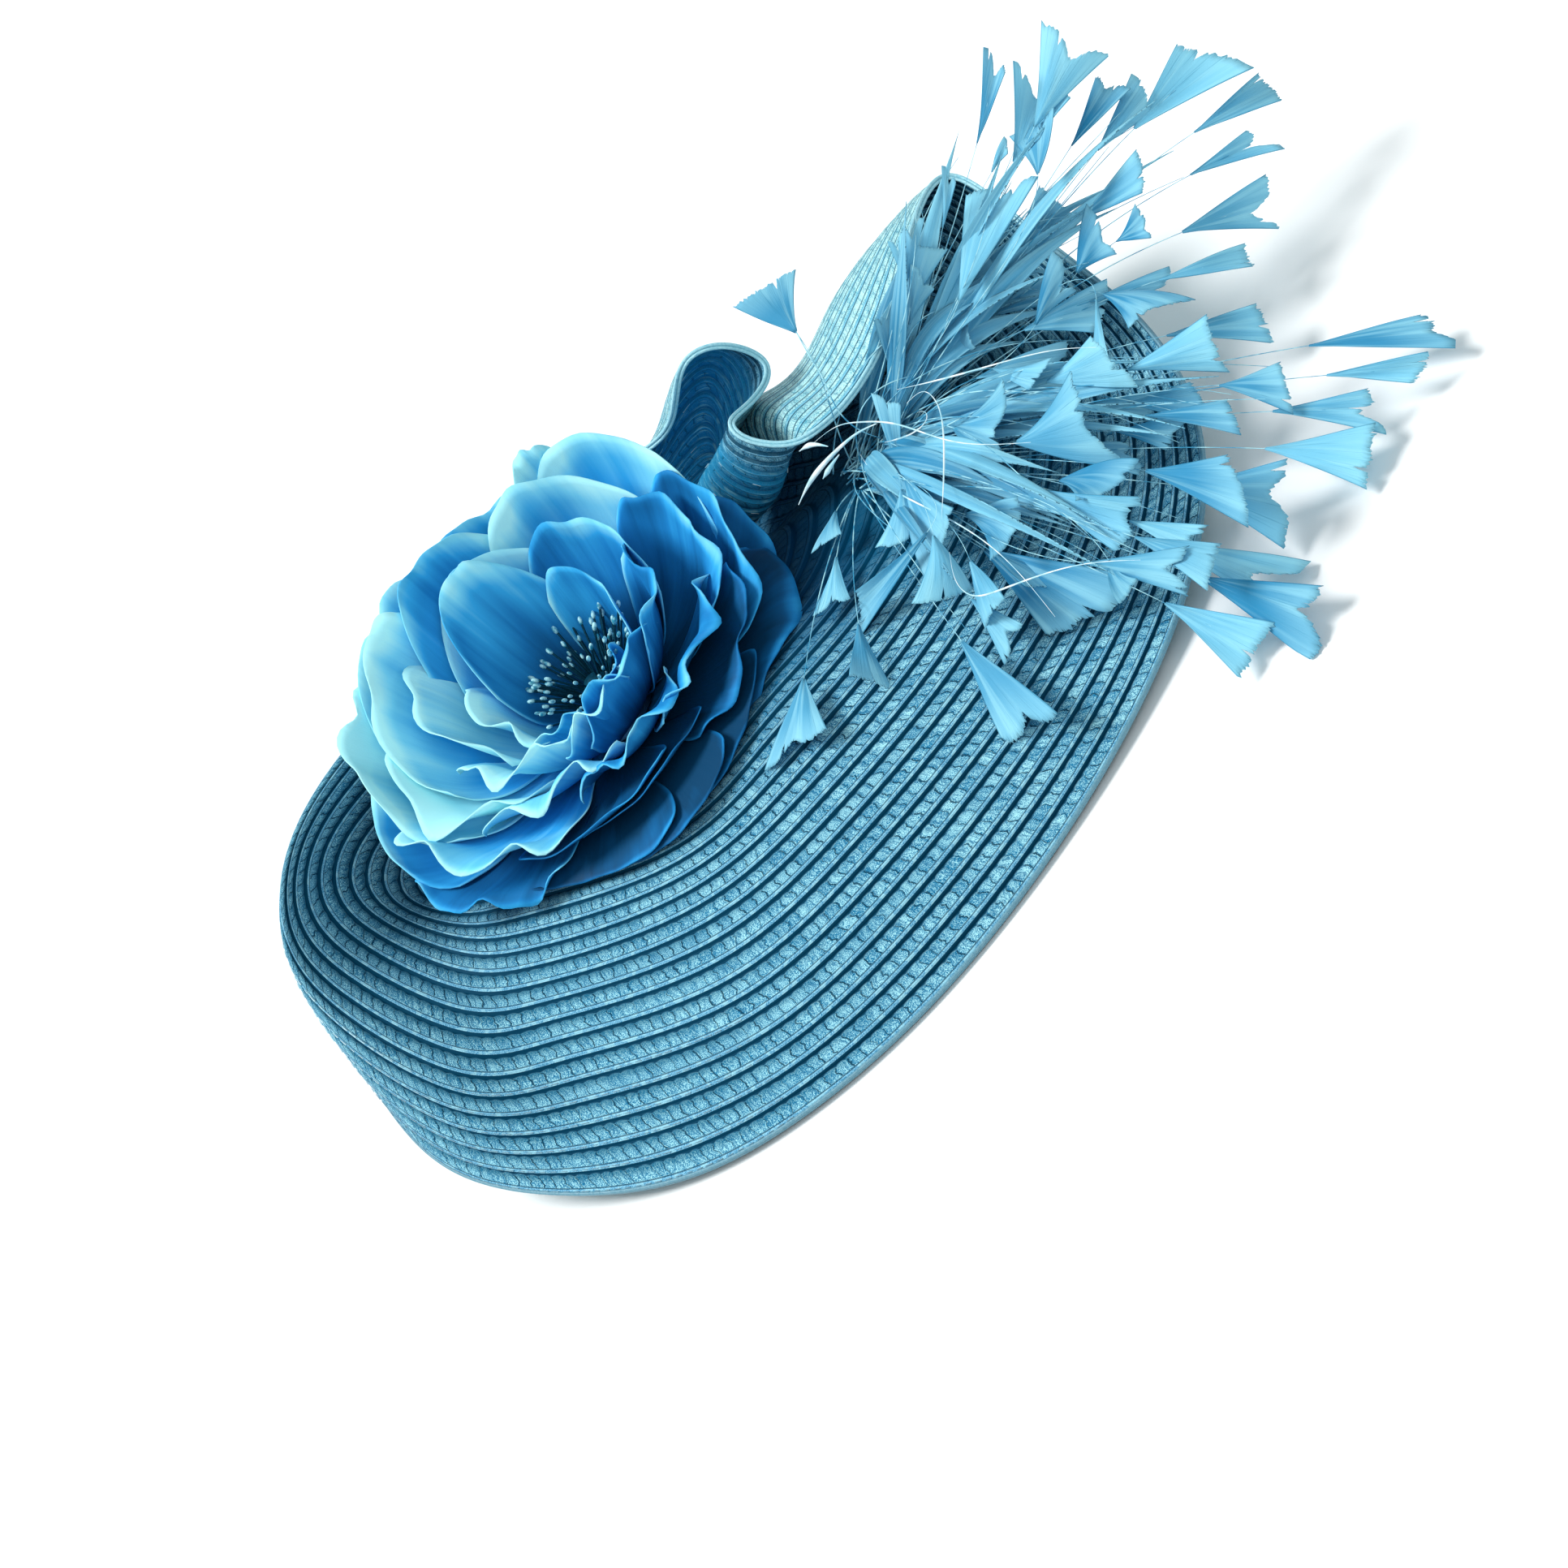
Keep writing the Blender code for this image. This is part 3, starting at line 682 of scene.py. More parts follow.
def sweep(recipe, curve, radius, sides, scale=None):
    ring = recipe.add("GeometryNodeCurvePrimitiveCircle", None, {"Resolution": sides, "Radius": radius})
    return recipe.add("GeometryNodeCurveToMesh", None, {
        "Curve": curve, "Profile Curve": ring, "Scale": scale, "Fill Caps": True})


def tubeTree():
    # Round tubes along a curve object, thinner towards both ends.
    recipe, (curve, radius, first, last, sides, finish) = newTree(
        "tube along curve", ("Radius", "Float"), ("Start Share", "Float"), ("End Share", "Float"),
        ("Sides", "Int"), ("Material", "Material"))
    along = recipe.add("GeometryNodeSplineParameter")
    width = radius * (1.0 - along * (1.0 - last)) * (first + (1.0 - first) * along.rise(0.0, 0.35))
    tube = sweep(recipe, curve, 1.0, sides, width)
    return endTree(recipe, realWith(recipe, smoothShaded(recipe, tube), finish))


def applyTree(source, tree, name, **values):
    # Runs a tree on an object and keeps the result as a plain mesh object.
    modifier = source.modifiers.new("grown", "NODES")
    modifier.node_group = tree
    names = {item.name: item.identifier for item in tree.interface.items_tree if item.in_out == "INPUT"}
    for key, value in values.items():
        modifier[names[key.replace("_", " ")]] = value
    bpy.context.view_layer.update()
    graph = bpy.context.evaluated_depsgraph_get()
    mesh = bpy.data.meshes.new_from_object(source.evaluated_get(graph))
    mesh.name = name
    bpy.data.objects.remove(source, do_unlink=True)
    return addObject(name, mesh)


def curveSource(name, lines, closed=False):
    data = bpy.data.curves.new(name, "CURVE")
    data.dimensions = "3D"
    for line in lines:
        spline = data.splines.new("POLY")
        spline.points.add(len(line) - 1)
        placed = np.concatenate([toFrame(line), np.ones((len(line), 1))], axis=1)
        spline.points.foreach_set("co", placed.ravel())
        spline.use_cyclic_u = closed
    return addObject(name, data)


# The bound edge of the rim and the stitches in the grooves.
cords = {
    "rimColumns": 900,
    "rimOffset": 0.72,            # each of the two cords from the middle of the rim, mm
    "rimRadius": 0.75,
    "rimTones": ("66b8d0", "c8f4fa"),
    "threadTones": ("a8dcec", "e4fafe"),
    "lowTone": "0c5878",
    "lowBelow": (0.045, 0.080),   # height in metres over which the darker tone ends
    "lowShare": 0.65,
    "sides": 8,
}


def cordMaterial(name, dark, pale):
    recipe = newMaterial(name)
    place = recipe.coordinates("Object")
    grain = recipe.noise(place, 900.0, 2.0)
    height = recipe.parts(place)[2]
    face = recipe.mix(grain, dark, pale)
    face = recipe.mix((1.0 - height.rise(*cords["lowBelow"])) * cords["lowShare"], face, cords["lowTone"])
    return recipe.finish(Base_Color=face, Roughness=0.45, Normal=recipe.bump(grain, 0.3))


def makeRimCords(tree, material):
    columns, rim = np.arange(cords["rimColumns"]) / cords["rimColumns"], np.array([1.0])
    middle, normal = brimGrid(columns, rim)[0], brimNormals(columns, rim)[0]
    lines = [middle + normal * offset for offset in (cords["rimOffset"], -cords["rimOffset"])]
    piece = applyTree(curveSource("rim_line", lines, True), tree, "rim_cords", Radius=cords["rimRadius"] * mm,
                      Start_Share=1.0, End_Share=1.0, Sides=cords["sides"], Material=material)
    finishPiece(piece, [])


def stitchTree():
    # Short threads set along a curve at a spacing.
    recipe, (curve, spacing, length, radius, seed, finish) = newTree(
        "stitches along curve", ("Spacing", "Float"), ("Length", "Float"), ("Radius", "Float"),
        ("Seed", "Int"), ("Material", "Material"))
    spots = recipe.add("GeometryNodeCurveToPoints", {"mode": "LENGTH"}, {"Curve": curve, "Length": spacing})
    thread = recipe.add("GeometryNodeMeshCone", None, {
        "Vertices": 6, "Side Segments": 3, "Radius Top": radius * 0.5, "Radius Bottom": radius,
        "Depth": length})
    size = recipe.between(*stitchFacts["sizes"], seed)
    turn = Wire(recipe, spots.socket.node.outputs["Rotation"])
    sewn = recipe.add("GeometryNodeInstanceOnPoints", None, {
        "Points": spots, "Instance": thread, "Rotation": turn, "Scale": size})
    return endTree(recipe, realWith(recipe, sewn, finish))


# Stitches: name, first and last rib, first and last row, rows between lines, spacing mm, length mm.
rowStitches = {
    "left":  ("frontLeft", "leftBack", 24, 29, 1, 4.6, 3.0),
    "loop":  ("back", "loopTop", 15, 27, 3, 19.0, 5.0),
    "turn":  ("middleArm", "turnLow", 16, 27, 3, 15.0, 4.0),
}
stitchFacts = {
    "part": 0.90,            # of a row's width, where its stitches lie
    "lift": 1.10,
    "radius": 0.24,
    "sizes": (0.6, 1.15),
    "linePoints": 160,       # on each row's line of stitches
    "seed": 3,
}


def makeStitches(tree, material):
    for name, (first, last, low, high, every, spacing, length) in rowStitches.items():
        columns = np.linspace(*ribPlaces(first, last), stitchFacts["linePoints"])
        levels = (np.arange(low, high + 1, every) + stitchFacts["part"]) / strawBrim["rows"]
        lines = brimGrid(columns, levels) + brimNormals(columns, levels) * stitchFacts["lift"]
        source = curveSource(name + "_stitch_lines", lines)
        piece = applyTree(source, tree, name + "_stitches", Spacing=spacing * mm, Length=length * mm,
                          Radius=stitchFacts["radius"] * mm, Seed=stitchFacts["seed"], Material=material)
        finishPiece(piece, [])


tubes = tubeTree()
makeRimCords(tubes, cordMaterial("rim cord", *cords["rimTones"]))
makeStitches(stitchTree(), cordMaterial("stitch thread", *cords["threadTones"]))
print("rim cords and stitches ready")


# The band under the brim, where the photo doesn't reach.
headBand = {
    "centre": (-4.0, 40.0),
    "half": (70.0, 78.0),
    "wall": 2.2,
    "gap": 0.4,
    "brimBelow": 1.25,            # how far the brim's underside lies below its middle, mm
    "columns": 112,
    # Each side's way up: inset from the wall's face, then height above the floor or from the top.
    "foot": ((0.5, 0.0), (0.0, 0.4), (0.0, 3.0), (0.35, 3.3)),
    "head": ((0.35, -3.3), (0.0, -3.0), (0.0, -0.4), (0.5, -0.05)),
    "ribs": 2.0,                  # UV units in one column, and a rib for each unit
}


def bedHeights(places):
    grid = brimGrid(np.linspace(0, 1, 361)[:-1], np.linspace(0.0, 0.5, 61)).reshape(-1, 3)
    away = np.hypot(grid[None, :, 0] - places[:, :1], grid[None, :, 1] - places[:, 1:2])
    nearest = np.argsort(away, axis=1)[:, :6]
    return grid[nearest, 2].min(axis=1)


def bandMaterial():
    recipe = newMaterial("ribbed band")
    rib = (recipe.parts(recipe.coordinates("UV"))[0] * 2 * math.pi).sine()
    grain = recipe.noise(recipe.coordinates("Object"), 700.0, 3.0)
    tone = recipe.mix(rib * 0.25 + 0.5, "0b456d", "2b7aa6")
    return recipe.finish(Base_Color=recipe.mix(grain * 0.4, tone, "3c8cb6"), Roughness=0.7,
                         Normal=recipe.bump(rib * 0.5 + grain * 0.3, 0.3))


def makeHeadBand(material):
    count, half = headBand["columns"], headBand["wall"] / 2
    angles = np.arange(count) / count * 2 * math.pi
    outward = np.stack([np.cos(angles), np.sin(angles)], axis=1)
    places = np.array(headBand["centre"]) + np.array(headBand["half"]) * outward
    outwardUnit = unit(outward / np.array(headBand["half"]))
    tops = bedHeights(places) - headBand["brimBelow"] - headBand["gap"]
    outer = [(half - inset, np.full(count, height)) for inset, height in headBand["foot"]]
    outer += [(half - inset, tops + height) for inset, height in headBand["head"]]
    inner = [(-aside, level) for aside, level in reversed(outer)]
    sections = inner[-1:] + outer + inner[:-1]
    rings = [np.column_stack([places + outwardUnit * aside, level]) for aside, level in sections]
    faces, pairs = [], []
    for k in range(len(rings)):
        after = (k + 1) % len(rings)
        for c in range(count):
            d = (c + 1) % count
            faces.append((k * count + c, k * count + d, after * count + d, after * count + c))
            left, right = c * headBand["ribs"], (c + 1) * headBand["ribs"]
            pairs += [(left, k), (right, k), (right, k + 1), (left, k + 1)]
    piece = meshPiece("head_band", np.concatenate(rings), faces, material, pairs)
    finishPiece(piece, ["head_ring"])


makeHeadBand(bandMaterial())
print("head band ready")


# The flower: a felt base, five rings of silk petals and the stamens.
flower = {
    "axis": (-33.0, 46.0),
    "wall": 0.5,
    "across": 34,
    "along": 26,
    "bowlOut": 0.88,
    "bowlUp": 0.16,
    "baseRadius": 26.0,
    "baseHeights": (50.9, 53.4),
    "baseSides": 56,
    "baseEdges": (0.6, 0.7),     # mm cut off the base's lower and upper edge
    "seed": 11,
    "tones": (
        (0.0, "b4f8ff"), (0.20, "7cdafa"), (0.42, "34aae8"),
        (0.60, "1c82c4"), (0.80, "0c5c92"), (1.0, "064066")),
}

# Layer: centre radius and height, then the tips: azimuth, reach and height. Azimuths are in degrees from
# the right, counter-clockwise from above. Petals: azimuth, half width in degrees, share of the reach,
# ruffle mm, curl mm, tone (0 pale, 1 dark).
# The petals' tones paint light and shade: pale on the left petals where light falls, dark on the shaded lower
# and right ones.
petalLayers = {
    "outer_petals": (24, 54.4, (
        (-95, 84, 52), (-52, 78, 56), (-12, 91, 60), (36, 88, 94),
        (88, 66, 112), (132, 72, 108), (170, 105, 84), (216, 80, 54)), (
        (-100, 30, 0.98, 0.8, 0, 0.96), (-66, 30, 0.88, 0.8, 0, 0.98), (-26, 34, 0.90, 1.8, 5, 0.90),
        (18, 32, 1.00, 2.0, 2, 0.86), (62, 34, 0.98, 1.6, 1, 0.60), (108, 34, 1.00, 1.6, 1, 0.50),
        (158, 32, 1.00, 2.4, 2, 0.48), (196, 26, 0.99, 4.0, 4, 0.58), (232, 32, 0.99, 1.0, 0, 0.86))),
    "second_petals": (21, 56.0, (
        (-112, 66, 66), (-70, 64, 66), (-25, 80, 78), (26, 86, 128),
        (72, 62, 138), (112, 58, 146), (152, 86, 126), (196, 84, 86)), (
        (-98, 36, 0.96, 0.7, 0, 0.92), (-44, 34, 0.96, 2.0, 4, 0.84), (-6, 30, 0.98, 2.0, 3, 0.66),
        (28, 36, 1.00, 1.2, 1, 0.34), (74, 44, 0.98, 1.4, 1, 0.38), (122, 40, 0.98, 1.4, 1, 0.40),
        (160, 32, 1.00, 3.0, 3, 0.12), (198, 32, 0.99, 4.2, 5, 0.14), (240, 36, 0.97, 1.0, 0, 0.78),
        (47, 13, 1.03, 1.2, 0, 0.30))),
    "third_petals": (18, 57.6, (
        (-93, 50, 80), (-48, 53, 83), (-8, 74, 94), (40, 66, 134),
        (88, 50, 147), (135, 55, 148), (176, 76, 102), (222, 46, 84)), (
        (-92, 42, 1.00, 4.4, 8, 0.48), (-46, 36, 1.00, 4.4, 8, 0.52), (0, 32, 0.98, 2.6, 4, 0.60),
        (44, 42, 0.97, 1.2, 0, 0.34), (98, 46, 0.97, 1.2, 0, 0.42), (146, 36, 1.00, 3.0, 3, 0.26),
        (184, 36, 1.00, 4.0, 7, -0.06), (224, 38, 1.00, 4.6, 8, 0.12))),
    "fourth_petals": (15, 59.2, (
        (-80, 33, 101), (-25, 44, 101), (22, 56, 118), (68, 45, 138),
        (112, 43, 140), (158, 52, 120), (210, 42, 94)), (
        (-70, 50, 0.98, 3.6, 7, 0.50), (-14, 36, 1.00, 2.8, 5, 0.56), (30, 42, 0.94, 1.0, 1, 0.52),
        (92, 56, 0.93, 0.8, 0, 0.44), (158, 42, 1.00, 3.0, 6, 0.02), (212, 44, 1.00, 4.2, 8, 0.12),
        (262, 38, 0.96, 3.6, 7, 0.40))),
    "inner_petals": (12, 60.8, (
        (-60, 24, 92), (0, 34, 108), (48, 34, 128), (92, 32, 142),
        (135, 33, 130), (190, 32, 96), (240, 24, 90)), (
        (-74, 50, 1.00, 2.6, 4, 0.52), (14, 50, 0.93, 0.8, 1, 0.46), (100, 60, 0.98, 0.7, 1, 0.46),
        (180, 46, 0.96, 3.0, 7, 0.20), (232, 44, 1.00, 2.8, 7, 0.34))),
}


def feltMaterial():
    recipe = newMaterial("base felt")
    grain = recipe.noise(recipe.coordinates("Object"), 1200.0, 4.0, 0.7)
    return recipe.finish(Base_Color=recipe.mix(grain, "04294a", "145a8a"), Roughness=0.95,
                         Normal=recipe.bump(grain, 0.4))


def makeFlowerBase(material):
    (low, high), (lowEdge, highEdge) = flower["baseHeights"], flower["baseEdges"]
    radius, sides, axis = flower["baseRadius"], flower["baseSides"], flower["axis"]
    profile = (
        (radius - lowEdge, low), (radius, low + lowEdge),
        (radius, high - highEdge), (radius - highEdge, high))
    rings = [point for r, z in profile for point in circle(axis, r, z, sides)]
    points = [(*axis, low)] + rings + [(*axis, high)]
    faces = []
    for c in range(sides):
        d = (c + 1) % sides
        faces.append((0, 1 + d, 1 + c))
        for k in range(len(profile) - 1):
            here = 1 + k * sides
            faces.append((here + c, here + d, here + sides + d, here + sides + c))
        top = 1 + (len(profile) - 1) * sides
        faces.append((top + c, top + d, len(points) - 1))
    piece = meshPiece("felt_base", points, faces, material)
    finishPiece(piece, ["flower_base"])


def silkMaterial():
    recipe = newMaterial("flower silk")
    ident, side, along = recipe.patchPlace()
    tone = recipe.share("tone")
    veins = recipe.noise(recipe.place(side * 6.0, along * 0.7, ident * 4.0), 1.6, 2.0, 0.5)
    folds = recipe.noise(recipe.place(side * 1.2, along * 1.1, ident * 7.0), 1.5, 1.0)
    # The ramp paints light and shade on the silk: darker towards the heart, where shade falls inside the
    # flower, paler at the lit margins, and the folds' shading painted by noise, on top of each petal's tone.
    margin = side.size().rise(0.93, 1.0).highest((along + folds * 0.20).rise(0.98, 1.10))
    heartShade = 0.42 * (1.0 - along).rise(0.10, 0.95)
    depth = tone + heartShade + (0.5 - folds) * 0.70 + (0.5 - veins) * 0.22 - margin * 0.26
    body = recipe.add("ShaderNodeValToRGB", {"stops": flower["tones"]}, {0: depth})
    fine = recipe.noise(recipe.place(side * 60.0, along * 30.0, ident), 2.0, 2.0)
    return recipe.finish(Base_Color=body, Roughness=0.55 + veins * 0.12, Specular_IOR_Level=0.12,
                         Normal=recipe.bump(veins * 0.8 + fine * 0.10, 0.45))


def layerRim(tips, azimuths):
    # Reach and height of a layer's rim at any azimuth.
    knots = np.array([tip[0] for tip in tips] + [tips[0][0] + 360.0], float)
    values = np.array([tip[1:] for tip in tips], float)
    found = smoothAt(knots, values, knots[0] + (azimuths.ravel() - knots[0]) % 360, True)
    return found[:, 0].reshape(azimuths.shape), found[:, 1].reshape(azimuths.shape)


def petalShape(layer, index, chance):
    # Grid of points of one petal: rows along it, columns across it.
    radius, height, tips, petals = layer
    azimuth, halfWidth, share, ruffle, curl = petals[index][:5]
    t = np.linspace(-1, 1, flower["across"])[None]
    s = np.linspace(0, 1, flower["along"])[:, None]
    phase, beat = chance.uniform(0, 6.28, 4), chance.uniform(0.85, 1.15, 3)
    notchAt, notch = chance.uniform(-0.5, 0.5), chance.uniform(0.0, 0.05)
    lobe = 1 - 0.24 * np.abs(t) ** 2.8 - notch * np.exp(-((t - notchAt) / 0.12) ** 2)
    lobe = lobe + 0.012 * np.sin(6 * t + phase[0]) + 0.003 * ruffle * np.sin(14 * t + phase[1])
    u = s * lobe * share
    spread = (0.55 + 0.45 * np.sin(0.5 * math.pi * np.minimum(s * 1.5, 1.0))) * (1 - 0.10 * s**5)
    turn = t * halfWidth * spread
    reach, top = layerRim(tips, azimuth + turn + 0 * s)
    out = radius + (reach - radius) * flower["bowlOut"]
    up = height + (top - height) * flower["bowlUp"]
    r = radius * (1 - u) ** 2 + 2 * u * (1 - u) * out + u**2 * reach
    z = height * (1 - u) ** 2 + 2 * u * (1 - u) * up + u**2 * top
    angle = np.radians(azimuth + turn)
    x, y = flower["axis"]
    shape = np.stack([x + r * np.cos(angle), y + r * np.sin(angle), z], axis=-1)
    normal = unit(np.cross(np.gradient(shape, axis=0), np.gradient(shape, axis=1)))
    quick = 1 + 0.05 * ruffle
    wave = np.sin(6.0 * quick * beat[0] * t + phase[0])
    wave = wave + 0.30 * np.sin(13 * quick * beat[1] * t + phase[1] + 2 * s)
    margin = np.maximum(s, 0.85 * np.abs(t)) ** 5
    lift = ruffle * margin * wave * (0.25 + 0.75 * s)
    lift = lift + (2.2 + 0.5 * ruffle) * t * s + 0.8 * np.sin(2.4 * beat[2] * s + 2.1 * t + phase[2]) * s
    lift = lift + 1.2 * (t**2 - 0.4) * s * (1 - s)
    roll = np.clip((s - 0.76) / 0.24, 0, 1) * (1 - 0.35 * t**2)
    rolled = curl * roll ** 1.6 * (0.66 + 0.34 * np.sin(3.6 * beat[1] * t + phase[3]))
    outward = np.stack([np.cos(angle), np.sin(angle), -0.85 * roll + 0 * angle], axis=-1)
    return shape + normal * lift[..., None] + outward * rolled[..., None]


def makePetalLayer(name, material, chance):
    layer = petalLayers[name]
    points, faces, pairs = [], [], []
    rows, cols = flower["along"], flower["across"]
    for index in range(len(layer[3])):
        points.append(petalShape(layer, index, chance).reshape(-1, 3))
        addPatch(faces, pairs, rows, cols, index, True)
    piece = meshPiece("silk_" + name, np.concatenate(points), faces, material, pairs)
    pointShares(piece, "tone", np.repeat([petal[5] for petal in layer[3]], rows * cols))
    giveWall(piece, flower["wall"])
    finishPiece(piece, [name])
    area = sum(p.area for p in piece.data.polygons)
    return area


makeFlowerBase(feltMaterial())
silk = silkMaterial()
petalChance = np.random.default_rng(flower["seed"])
for layerName in petalLayers:
    petalArea = makePetalLayer(layerName, silk, petalChance)
    print(layerName, "area m2", round(petalArea, 4))


stamenTuft = {
    "axis": (-29.0, 45.0),
    "base": 61.8,
    "baseRadius": 10.0,
    "count": 110,
    "length": 31.0,
    "thread": 0.50,
    "bead": 1.15,
    "sizes": (0.62, 1.08),
    "lean": 0.34,                # of the outermost threads, radians
    "turn": 2.39996,             # from thread to thread, which spreads them evenly
    "seed": 4,
    "coreProfile": ((0.0, 17.0), (4.0, 16.0), (7.0, 11.0), (7.0, 6.0), (5.0, 0.0), (0.0, 0.0)),
    "coreSides": 20,
}


def stamenTree():
    # One thread with its bead, set at every point of the source. Both have their material before they join.
    recipe, (roots, thread, bead, length, seed, threadFinish, beadFinish) = newTree(
        "stamen tuft", ("Thread", "Float"), ("Bead", "Float"), ("Length", "Float"), ("Seed", "Int"),
        ("Thread Material", "Material"), ("Bead Material", "Material"))
    stalk = recipe.add("GeometryNodeCurveQuadraticBezier", None, {
        "Resolution": 7, "Start": (0, 0, 0), "Middle": (0.03, 0, 0.55), "End": (0.30, 0.0, 1.0)})
    scaled = recipe.add("GeometryNodeTransform", None, {
        "Geometry": stalk, "Scale": recipe.place(length, length, length)})
    tube = sweep(recipe, scaled, thread, 5)
    tubeShown = recipe.add("GeometryNodeSetMaterial", None, {"Geometry": tube, "Material": threadFinish})
    ball = recipe.add("GeometryNodeMeshUVSphere", None, {"Segments": 8, "Rings": 6, "Radius": bead})
    tall = recipe.add("GeometryNodeTransform", None, {
        "Geometry": ball, "Scale": (0.85, 0.85, 1.6), "Rotation": (0.0, 0.55, 0.0),
        "Translation": recipe.place(length * 0.30, 0.0, length)})
    ballShown = recipe.add("GeometryNodeSetMaterial", None, {"Geometry": tall, "Material": beadFinish})
    whole = recipe.add("GeometryNodeJoinGeometry", None, {0: tubeShown})
    recipe.tree.links.new(ballShown.socket, whole.socket.node.inputs[0])
    turn = recipe.add("GeometryNodeInputNamedAttribute", {"data_type": "FLOAT_VECTOR"}, {"Name": "turn"})
    size = recipe.between(*stamenTuft["sizes"], seed)
    planted = recipe.add("GeometryNodeInstanceOnPoints", None, {
        "Points": roots, "Instance": whole, "Rotation": turn, "Scale": size})
    real = recipe.add("GeometryNodeRealizeInstances", None, {"Geometry": planted})
    return endTree(recipe, smoothShaded(recipe, real))


def threadMaterial():
    recipe = newMaterial("stamen thread")
    grain = recipe.noise(recipe.coordinates("Object"), 800.0, 2.0)
    return recipe.finish(Base_Color=recipe.mix(grain, "021c2c", "0a4c62"), Roughness=0.6,
                         Normal=recipe.bump(grain, 0.2), Specular_IOR_Level=0.08)


def beadMaterial():
    recipe = newMaterial("stamen bead")
    grain = recipe.noise(recipe.coordinates("Object"), 500.0, 2.0)
    return recipe.finish(Base_Color=recipe.mix(grain.rise(0.35, 0.65), "1f8aa6", "b5ecf2"), Roughness=0.35)


def makeStamens():
    chance = np.random.default_rng(stamenTuft["seed"])
    count, axis, base = stamenTuft["count"], stamenTuft["axis"], stamenTuft["base"]
    share = np.sqrt((np.arange(count) + 0.5) / count)
    angle = np.arange(count) * stamenTuft["turn"] + chance.normal(0, 0.25, count)
    radius = stamenTuft["baseRadius"] * share
    x, y = axis[0] + radius * np.cos(angle), axis[1] + radius * np.sin(angle)
    roots = np.column_stack([x, y, np.full(count, base)])
    lean = stamenTuft["lean"] * share + chance.normal(0, 0.05, count)
    turns = np.column_stack([chance.normal(0, 0.06, count), lean, angle])
    mesh = bpy.data.meshes.new("stamen_roots")
    mesh.from_pydata(toFrame(roots).tolist(), [], [])
    mesh.attributes.new("turn", "FLOAT_VECTOR", "POINT").data.foreach_set("vector", turns.ravel())
    threads, beads = threadMaterial(), beadMaterial()
    piece = applyTree(addObject("stamen_roots", mesh), stamenTree(), "stamen_threads",
                      Thread=stamenTuft["thread"] * mm, Bead=stamenTuft["bead"] * mm,
                      Length=stamenTuft["length"] * mm, Seed=stamenTuft["seed"], Thread_Material=threads,
                      Bead_Material=beads)
    finishPiece(piece, ["stamens"])
    sides, profile = stamenTuft["coreSides"], stamenTuft["coreProfile"]
    points = [point for r, z in profile for point in circle(axis, r, base + z, sides)]
    faces = []
    for k in range(len(profile) - 1):
        for c in range(sides):
            d = (c + 1) % sides
            faces.append((k * sides + d, k * sides + c, k * sides + sides + c, k * sides + sides + d))
    finishPiece(meshPiece("stamen_core", points, faces, threads), ["stamens"])


makeStamens()
print("stamens ready")


